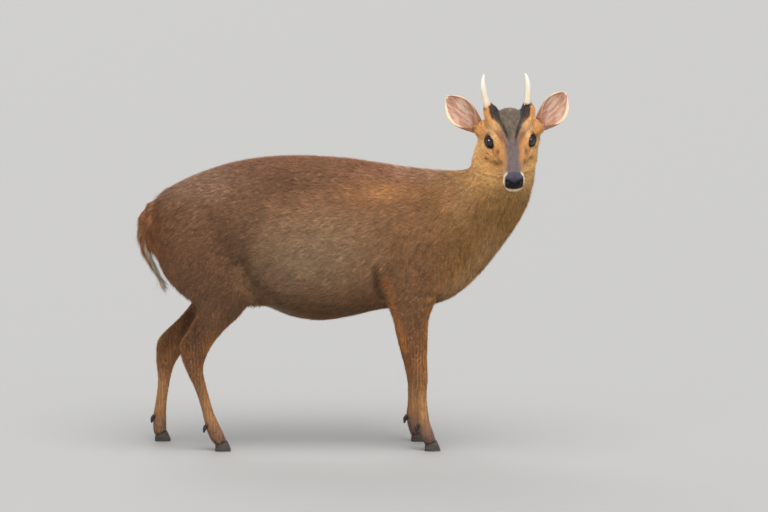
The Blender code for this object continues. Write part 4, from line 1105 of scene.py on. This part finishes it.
# The ear's root, and the ways along it, out of its opening and across it
def earFrame(side):
    sign = 1 if side == "left" else -1
    flip = np.array((1, sign, 1))
    root = fromHead(np.array(earForm["root"]) * flip)
    along = unit(headAxes @ (np.array(earForm["along"]) * flip))
    opens = headAxes @ (np.array(earForm["opens"]) * flip)
    opens = unit(opens - along * (opens @ along))
    return root, along, opens, np.cross(opens, along) * sign


# How far along and across the ear each place is, and whether it is on the inside
def earMap(side, points, normals):
    root, along, opens, across = earFrame(side)
    away = points - root
    share = away @ along / earForm["length"]
    width = away @ across
    focus = root + share[:, None] * along * earForm["length"] + opens * earForm["focus"]
    inside = softStep(((focus - points) * normals).sum(axis=1), -0.002, 0.003)
    return share, width, inside


# Pink and streaked inside with a pale rim, brown behind
def earColours(side, points, normals):
    share, width, inside = earMap(side, points, normals)
    aside = np.abs(width / np.interp(share, earForm["shares"], earForm["halfWidths"]))
    streak = ripples(np.column_stack((share * 0.009, width + share * 0.004, width * 0)), 0.0040, 31)
    patch = ripples(np.column_stack((share * 0.05, width, width * 0)), 0.026, 32)
    inner = np.tile(earShades["pink"], (len(points), 1))
    inner = mixed(inner, earShades["brown"], softStep(-patch, -0.1, 0.7) * softStep(share, 0.3, 0.6) * 0.55)
    paleStreak = softStep(streak + patch * 0.6, -0.3, 1.2) * softStep(share, 0.08, 0.3)
    inner = mixed(inner, earShades["pale"], paleStreak * 0.80)
    inner = mixed(inner, earShades["deepPink"], (1 - softStep(share, 0.0, 0.20)) * 0.6)
    besideRim = softStep(aside, 0.66, 0.80) * (1 - softStep(aside, 0.84, 0.93))
    inner = mixed(inner, earShades["brown"], besideRim * 0.5)
    rim = softStep(aside, 0.84, 0.95) + softStep(share, 0.93, 0.99)
    inner = mixed(inner, earShades["rim"], np.clip(rim, 0, 1) * 0.85)
    outer = np.tile(earShades["back"], (len(points), 1))
    outer = mixed(outer, earShades["darkRim"], softStep(share, 0.75, 1.0) * 0.6)
    return mixed(outer, inner, inside)


earSkin, *earParts, earShader = markedMaterial("earSkin", 0.55)
earShader.inputs["Subsurface Weight"].default_value = 0.15
earShader.inputs["Subsurface Radius"].default_value = (0.004, 0.0016, 0.001)
earShader.inputs["Sheen Weight"].default_value = 0.2
addStreaks("earSkin", *earParts, earShader)
cups = {}
for side in sides:
    cup = smoothCopy("ear_" + side, "cup_" + side)
    addColours(cup.data, earColours(side, pointsOf(cup.data), normalsOf(cup.data)))
    cup.data.materials.append(earSkin)
    finishPiece(cup, "ear_skin", "ear_" + side)
    cups[side] = cup
print("ears made")


# The coat: thin tufts, rooted in the skin and lying along it

# What tufts are rooted in: points, normals and triangles with their areas
def surfaceOf(obj):
    mesh = obj.data
    mesh.calc_loop_triangles()
    triangles = np.empty(len(mesh.loop_triangles) * 3, np.int32)
    mesh.loop_triangles.foreach_get("vertices", triangles)
    triangles = triangles.reshape(-1, 3)
    points, normals = pointsOf(mesh), normalsOf(mesh)
    corners = points[triangles]
    area = np.linalg.norm(np.cross(corners[:, 1] - corners[:, 0], corners[:, 2] - corners[:, 0]), axis=1) / 2
    return dict(points=points, normals=normals, triangles=triangles, area=area, middles=corners.mean(axis=1))


# Places on the chosen triangles, with about that many to a square metre
def pickRoots(surface, chosen, density, draw):
    counts = np.floor(surface["area"][chosen] * density + draw.random(len(chosen))).astype(int)
    which = np.repeat(chosen, counts)
    a, b = np.sqrt(draw.random(len(which))), draw.random(len(which))
    shares = np.column_stack((1 - a, a * (1 - b), a * b))[:, :, None]
    ids = surface["triangles"][which]
    roots = (surface["points"][ids] * shares).sum(axis=1)
    return roots, unit((surface["normals"][ids] * shares).sum(axis=1))


tuft = {"sunk": 0.0004, "flatness": 0.30, "taper": 0.45, "shades": (0.72, 1.02, 1.50), "patch": 0.0015}


# Each tuft is a slim closed blade, three-sided and drawn to a point, its root just under the skin
def tuftMesh(name, roots, ups, ways, lengths, widths, lifts, tones, places,
             tipTones=None, bends=1, droop=0.0):
    count, across = len(roots), unit(np.cross(ways, ups))
    verts, shares = [], []
    for k in range(bends):
        share = k / bends
        spine = roots + ways * (lengths * share)[:, None]
        spine = spine + ups * (lifts * share - tuft["sunk"])[:, None]
        spine[:, 2] -= droop * lengths * share**2
        half = (widths * (1 - tuft["taper"] * share) / 2)[:, None]
        verts += [spine - across * half, spine + across * half, spine + ups * half * 2 * tuft["flatness"]]
        shares += [share] * 3
    tip = roots + ways * lengths[:, None] + ups * lifts[:, None]
    tip[:, 2] -= droop * lengths
    verts = np.stack(verts + [tip], axis=1).reshape(-1, 3)
    shares = np.array(shares + [1.0])
    corners, sides = len(shares), [(0, 2, 1)]
    for k in range(bends - 1):
        a, b = 3 * k, 3 * k + 3
        for i, j in ((0, 2), (2, 1), (1, 0)):
            sides += [(a + i, b + i, a + j), (a + j, b + i, b + j)]
    last = 3 * (bends - 1)
    sides += [(last, corners - 1, last + 2), (last + 2, corners - 1, last + 1), (last + 1, corners - 1, last)]
    faces = (np.arange(count)[:, None, None] * corners + np.array(sides)).reshape(-1, 3)
    mesh = bpy.data.meshes.new(name)
    mesh.vertices.add(len(verts))
    mesh.vertices.foreach_set("co", verts.astype(np.float32).ravel())
    mesh.loops.add(faces.size)
    mesh.loops.foreach_set("vertex_index", faces.astype(np.int32).ravel())
    mesh.polygons.add(len(faces))
    mesh.polygons.foreach_set("loop_start", np.arange(0, faces.size, 3, dtype=np.int32))
    mesh.update(calc_edges=True)
    shade = np.interp(shares, (0, 0.5, 1), tuft["shades"])
    colours = np.repeat(tones, corners, axis=0) * np.tile(shade, count)[:, None]
    if tipTones is not None:
        reach = np.tile(softStep(shares, 0.45, 1.0), count)
        colours = mixed(colours, np.repeat(tipTones, corners, axis=0), reach)
    addColours(mesh, colours)
    wide = np.tile(((-1, 0), (1, 0), (0, 0)), (bends, 1))
    patch = np.vstack((wide, ((0, 0),))) * tuft["patch"]
    patch[:, 1] = (shares * 2 - 1) * tuft["patch"]
    corner = (np.repeat(places, corners, axis=0) + np.tile(patch, (count, 1)))[faces.ravel()]
    layer = mesh.uv_layers.new(name="OFBake")
    layer.uv.foreach_set("vector", corner.astype(np.float32).ravel())
    obj = bpy.data.objects.new(name, mesh)
    bpy.context.scene.collection.objects.link(obj)
    return obj


# Lays a rounded part out flat: its length one way and the turn round its own axis the other
def unwrapRound(points, start, end, up):
    start, end, up = np.array(start, float), np.array(end, float), np.array(up, float)
    axis = unit(end - start)
    up = unit(up - axis * (up @ axis))
    across = np.cross(axis, up)
    away = points - start
    turn = np.arctan2(away @ across, away @ up) / tau + 0.5
    run = away @ axis
    run = (run - run.min()) / max(run.max() - run.min(), 1e-6)
    turn = (turn - turn.min()) / max(turn.max() - turn.min(), 1e-6)
    return np.column_stack((run, turn)) * 0.98 + 0.01


coatFur = furMaterial("coatFur", 0.60, 0.12)


# A coat piece with its finish and a line on how much it holds
def finishCoat(made, slot, count):
    made.data.materials.append(coatFur)
    finishPiece(made, slot)
    print(made.name, count, "tufts")


fur = {
    "body": dict(length=0.0120, width=0.0010, cover=4.6, lift=0.20),
    "neck": dict(length=0.0130, width=0.0010, cover=4.2, lift=0.18),
    "upperLeg": dict(length=0.0085, width=0.0009, cover=4.2, lift=0.13),
    "lowerLeg": dict(length=0.0048, width=0.0007, cover=2.6, lift=0.12),
    "rumpEnd": dict(length=0.0220, width=0.0010, cover=5.0, lift=0.22),
    "coronet": dict(length=0.0085, width=0.0007, cover=4.2, lift=0.10),
    "head": dict(length=0.0054, width=0.0006, cover=3.2, lift=0.09),
    "muzzle": dict(length=0.0026, width=0.00045, cover=2.0, lift=0.12),
}
furOrder = ("length", "width", "cover", "lift")


# Length, width, cover and lift of the tufts at each place
def furForm(points):
    rows = {name: np.array([form[k] for k in furOrder]) for name, form in fur.items()}
    local = inHead(points)
    made = np.tile(rows["body"], (len(points), 1))
    made = mixed(made, rows["neck"], softStep(points[:, 0], 0.13, 0.21) * softStep(points[:, 2], 0.30, 0.40))
    rootAway = np.linalg.norm((points - np.array((-0.362, middle, 0.468))) * (1, 0.8, 1), axis=1)
    made = mixed(made, rows["rumpEnd"], 1 - softStep(rootAway, 0.010, 0.030))
    made = mixed(made, rows["upperLeg"], 1 - softStep(points[:, 2], 0.19, 0.30))
    made = mixed(made, rows["lowerLeg"], 1 - softStep(points[:, 2], 0.06, 0.17))
    made = mixed(made, rows["coronet"], 1 - softStep(points[:, 2], 0.026, 0.040))
    headAway = np.linalg.norm(local - np.array((-0.045, 0, -0.02)), axis=1)
    made = mixed(made, rows["head"], 1 - softStep(headAway, 0.070, 0.150))
    made = mixed(made, rows["muzzle"], faceShare(local) * softStep(local[:, 0], -0.005, 0.075))
    return made


# Where no tuft grows: the nose, the eyes, the lips' edge and where a hoof begins
def bareShare(points):
    local = inHead(points)
    mouth = distanceToPath(oneSide(local), grooves["mouthLine"]["path"])
    gland = distanceToPath(oneSide(local), grooves["tearGland"]["path"])
    bareFace = (fromEye(local) < 0.0160) | (mouth < 0.0012) | (gland < 0.0016)
    return (barePart(local) > 0.3) | ((faceShare(local) > 0.5) & bareFace) | (points[:, 2] < 0.014)


lockKeys = (73856093, 19349663, 83492791)  # large primes that tell the locks' cells apart


# Draws each tuft's way a little towards the tip of the lock that it belongs to
def clumped(roots, ways, lengths, size, draw, strength):
    bent = roots + 0.35 * size * np.sin(roots[:, [1, 2, 0]] / size * 1.7)
    cells = np.floor(bent / size).astype(np.int64)
    keys = cells[:, 0] * lockKeys[0] ^ cells[:, 1] * lockKeys[1] ^ cells[:, 2] * lockKeys[2]
    _, group = np.unique(keys, return_inverse=True)
    total = np.bincount(group)
    centre = np.column_stack([np.bincount(group, roots[:, k]) / total for k in range(3)])[group]
    target = centre + ways * lengths[:, None]
    pulled = (target - roots) * strength + ways * lengths[:, None] * (1 - strength)
    return unit(pulled), draw.normal(0, 1, len(total))[group]


coatLook = {
    "lockSize": 0.0058,
    "pull": 0.55,
    "stray": 0.10,
    "lockTone": 0.15,
    "tuftTone": 0.15,
    "warmth": 0.05,
}


# The markings with each lock and each tuft a little lighter, darker, warmer or cooler
def tonesOf(colours, lockTone, draw):
    light = 1 + coatLook["lockTone"] * lockTone + coatLook["tuftTone"] * draw.normal(0, 1, len(colours))
    warm = coatLook["warmth"] * draw.normal(0, 1, len(colours))
    shift = np.column_stack((1 + warm, np.ones(len(colours)), 1 - warm))
    return colours * light.clip(0.5, 1.7)[:, None] * shift


# Grows one coat piece on the chosen triangles of the skin
def growCoat(name, chosen, seed, unwrap, slot):
    draw = np.random.default_rng(seed)
    form = furForm(body["middles"][chosen])
    density = form[:, 2] / (form[:, 0] * form[:, 1])
    roots, ups = pickRoots(body, chosen, density, draw)
    kept = ~bareShare(roots)
    roots, ups = roots[kept], ups[kept]
    form = furForm(roots)
    ways = lieOfHair(roots, ups)
    ways = unit(ways + draw.normal(0, coatLook["stray"], ways.shape))
    lengths = form[:, 0] * (0.65 + 0.6 * draw.random(len(roots)))
    ways, lockTone = clumped(roots, ways, lengths, coatLook["lockSize"], draw, coatLook["pull"])
    widths = form[:, 1] * (0.75 + 0.5 * draw.random(len(roots)))
    lifts = lengths * form[:, 3] * (0.5 + draw.random(len(roots)))
    tones = tonesOf(markings(roots, ups), lockTone, draw)
    made = tuftMesh(name, roots, ups, ways, lengths, widths, lifts, tones, unwrap(roots))
    finishCoat(made, slot, len(roots))


body = surfaceOf(skin)
owners, ownerNames = nodeOfPoints(body["points"])
triangleOwner = owners[body["triangles"][:, 0]]
print("coat regions found")


def ownedBy(*names):
    return np.isin(triangleOwner, [ownerNames.index(n) for n in names])


trunk = ownedBy("torso")
front = body["middles"][:, 0] > -0.10
rightSide = body["middles"][:, 1] < middle
headRight = inHead(body["middles"])[:, 1] < 0
trunkAxis = ((-0.40, middle, 0.40), (0.20, middle, 0.40), (0, 0, 1))
neckAxis = ((0.14, middle, 0.38), (0.25, middle, 0.52), (-1, 0, 1))
headAxis = (fromHead((-0.10, 0, -0.01)), fromHead((0.12, 0, -0.01)), headAxes[:, 2])
coatPieces = [
    ("coat_trunk_front_right", trunk & front & rightSide, trunkAxis, "body_fur"),
    ("coat_trunk_front_left", trunk & front & ~rightSide, trunkAxis, "body_fur"),
    ("coat_trunk_rear_right", trunk & ~front & rightSide, trunkAxis, "body_fur"),
    ("coat_trunk_rear_left", trunk & ~front & ~rightSide, trunkAxis, "body_fur"),
    ("coat_neck", ownedBy("neck"), neckAxis, "body_fur"),
    ("coat_head_right", ownedBy("head", "nose") & headRight, headAxis, "face_fur"),
    ("coat_head_left", ownedBy("head", "nose") & ~headRight, headAxis, "face_fur"),
]
for end, side in legs:
    upper, lower = f"leg_{end}_{side}_upper", f"leg_{end}_{side}_lower"
    low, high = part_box(upper)
    footLow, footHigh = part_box(lower)
    top = ((low.x + high.x) / 2, (low.y + high.y) / 2, high.z)
    bottom = ((footLow.x + footHigh.x) / 2, (footLow.y + footHigh.y) / 2, 0.0)
    coatPieces.append((f"coat_leg_{end}_{side}", ownedBy(upper, lower), (bottom, top, (1, 0, 0)), "leg_fur"))
firstSeed = 11
for number, (name, where, axis, slot) in enumerate(coatPieces):
    growCoat(name, np.nonzero(where)[0], firstSeed + number, lambda p: unwrapRound(p, *axis), slot)
print("coat grown")


# The tail's long hair, chestnut above and white below and at the tip

tailHair = {
    "length": 0.029,
    "width": 0.0009,
    "density": 1150000,
    "lockSize": 0.008,
    "pull": 0.5,
    "lift": 0.12,
    "liftBelow": 0.22,
    "droop": 0.10,
    "out": (-1.0, 0, 0.1),
}


def growTail():
    draw = np.random.default_rng(53)
    chosen = np.nonzero(ownedBy("tail"))[0]
    roots, ups = pickRoots(body, chosen, np.full(len(chosen), tailHair["density"]), draw)
    line = np.array([list(p) for p in tailLine()])
    run = np.linspace(0, 1, len(line))
    share = np.interp(-roots[:, 2], -line[:, 2], run)
    along = unit(np.column_stack([np.interp(share, run, np.gradient(line[:, k])) for k in range(3)]))
    ways = along - ups * (along * ups).sum(axis=1)[:, None]
    ways = unit(unit(ways) + 0.25 * along + draw.normal(0, 0.08, roots.shape))
    rootShort = 0.45 + 0.55 * softStep(share, 0.05, 0.35)
    lengths = tailHair["length"] * rootShort * (0.7 + 0.5 * draw.random(len(roots)))
    ways, lockTone = clumped(roots, ways, lengths, tailHair["lockSize"], draw, tailHair["pull"])
    widths = tailHair["width"] * (0.7 + 0.6 * draw.random(len(roots)))
    rearward = ups @ np.array(tailHair["out"])
    below = tailHair["liftBelow"] * softStep(-rearward, 0.0, 0.5) * softStep(share, 0.35, 0.6)
    lifts = lengths * (tailHair["lift"] + below) * draw.random(len(roots))
    white = softStep(-rearward, 0.05, 0.50) * softStep(share, 0.15, 0.4)
    base = mixed(bodyMarkings(roots, ups) * 1.25, coat["tailRed"], softStep(share, 0.02, 0.30) * 0.8)
    base = mixed(base, coat["tailPale"], softStep(share, 0.62, 0.90))
    base = mixed(base, coat["white"], white)
    tips = mixed(base, coat["white"], softStep(share, 0.62, 0.90))
    tones = tonesOf(base, lockTone, draw)
    places = unwrapRound(roots, line[0], line[-1], (-1, 0, 0))
    made = tuftMesh("coat_tail", roots, ups, ways, lengths, widths, lifts, tones, places, tips,
                    bends=2, droop=tailHair["droop"])
    finishCoat(made, "body_fur", len(roots))


growTail()


# Hair on the ears: short behind, long and pale across the inside

earHair = {
    "back": dict(length=0.0050, width=0.0006, density=900000, lift=0.10),
    "inner": dict(length=0.0100, width=0.0005, density=300000, lift=0.16),
}


def growEar(side, seed):
    draw = np.random.default_rng(seed)
    surface = surfaceOf(cups[side])
    faceUps = surface["normals"][surface["triangles"][:, 0]]
    inside = earMap(side, surface["middles"], faceUps)[2]

    def between(key):
        return earHair["back"][key] * (1 - inside) + earHair["inner"][key] * inside

    roots, ups = pickRoots(surface, np.arange(len(inside)), between("density"), draw)
    share, width, inside = earMap(side, roots, ups)
    root, along, opens, across = earFrame(side)
    way = along + across * (width / 0.026 * 0.35)[:, None]
    ways = unit(way - ups * (way * ups).sum(axis=1)[:, None] + draw.normal(0, 0.10, roots.shape))
    lengths = between("length") * (0.6 + 0.8 * draw.random(len(roots)))
    aside = np.abs(width) / np.interp(share, earForm["shares"], earForm["halfWidths"])
    lengths *= 1 - 0.88 * np.maximum(softStep(aside, 0.55, 0.95), softStep(share, 0.78, 0.97))
    lifts = lengths * between("lift") * draw.random(len(roots))
    colours = earColours(side, roots, ups)
    colours = mixed(colours, earShades["pale"], inside * 0.25)
    tones = tonesOf(colours, np.zeros(len(roots)), draw)
    places = unwrapRound(roots, root, root + along, opens)
    made = tuftMesh("coat_ear_" + side, roots, ups, ways, lengths, between("width"), lifts, tones, places)
    finishCoat(made, "ear_skin", len(roots))


for seed, side in enumerate(sides, 71):
    growEar(side, seed)


# Lashes and whiskers

lash = {"count": 30, "length": 0.0078, "width": 0.00042, "colour": linear(14, 12, 12)}
whisker = {"rows": 4, "inRow": 5, "length": 0.026, "width": 0.00035, "colour": linear(40, 32, 28)}


# Widths, lifts, colours and places of hairs that are all alike, laid out in one row
def sameForAll(hair, count, lifts, margin):
    places = np.column_stack((np.linspace(margin, 1 - margin, count), np.full(count, 0.5)))
    return np.full(count, hair["width"]), lifts, np.tile(hair["colour"], (count, 1)), places


# Lashes along the upper lid
def growLashes(side):
    draw = np.random.default_rng(91)
    place = np.array(eyePlace(side))
    angles = np.linspace(radians(12), radians(168), lash["count"]) + draw.normal(0, 0.02, lash["count"])
    x, y = eyeForm["opening"][0] * np.cos(angles), eyeForm["opening"][1] * np.sin(angles)
    out = np.sqrt(np.maximum((eyeRadius + 0.0012) ** 2 - x**2 - y**2, 0.00001))
    local = np.column_stack((x, y, out))
    aside = np.column_stack((x * 0.9, y * 1.1, np.full(len(x), 0.011)))
    lift = np.column_stack((x * 0.2, y * 0.6 + 0.004, np.zeros(len(x))))
    turn = place[:3, :3].T
    lengths = lash["length"] * (0.6 + 0.4 * np.sin(angles)) * (0.85 + 0.3 * draw.random(len(x)))
    roots, ups, ways = local @ turn + place[:3, 3], unit(lift) @ turn, unit(aside) @ turn
    made = tuftMesh("lashes_" + side, roots, ups, ways, lengths,
                    *sameForAll(lash, len(x), lengths * 0.35, 0.1), bends=3)
    finishCoat(made, "face_fur", len(x))


# Whiskers in rows on both sides of the muzzle
def growWhiskers():
    draw = np.random.default_rng(97)
    roots, ways = [], []
    for sign in (-1, 1):
        for row in range(whisker["rows"]):
            for k in range(whisker["inRow"]):
                x, z = 0.088 - 0.0065 * k, -0.0045 - 0.0042 * row - 0.0010 * k
                roots.append((x, sign * (0.0168 + 0.0010 * k), z))
                ways.append((-0.25 - 0.10 * k, sign * 0.9, -0.30 - 0.10 * row))
    roots = np.array(roots) + draw.normal(0, 0.0006, (len(roots), 3))
    ways = unit(np.array(ways) + draw.normal(0, 0.08, (len(ways), 3)))
    lengths = whisker["length"] * (0.5 + 0.6 * draw.random(len(roots)))
    ups = np.tile(headAxes[:, 2], (len(roots), 1))
    made = tuftMesh("whiskers", fromHead(roots), ups, ways @ headAxes.T, lengths,
                    *sameForAll(whisker, len(roots), lengths * 0.1, 0.05), bends=3, droop=0.25)
    finishCoat(made, "face_fur", len(roots))


for side in sides:
    growLashes(side)
growWhiskers()
print("lashes and whiskers made")


# Sizes of the dressed model

low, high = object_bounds()
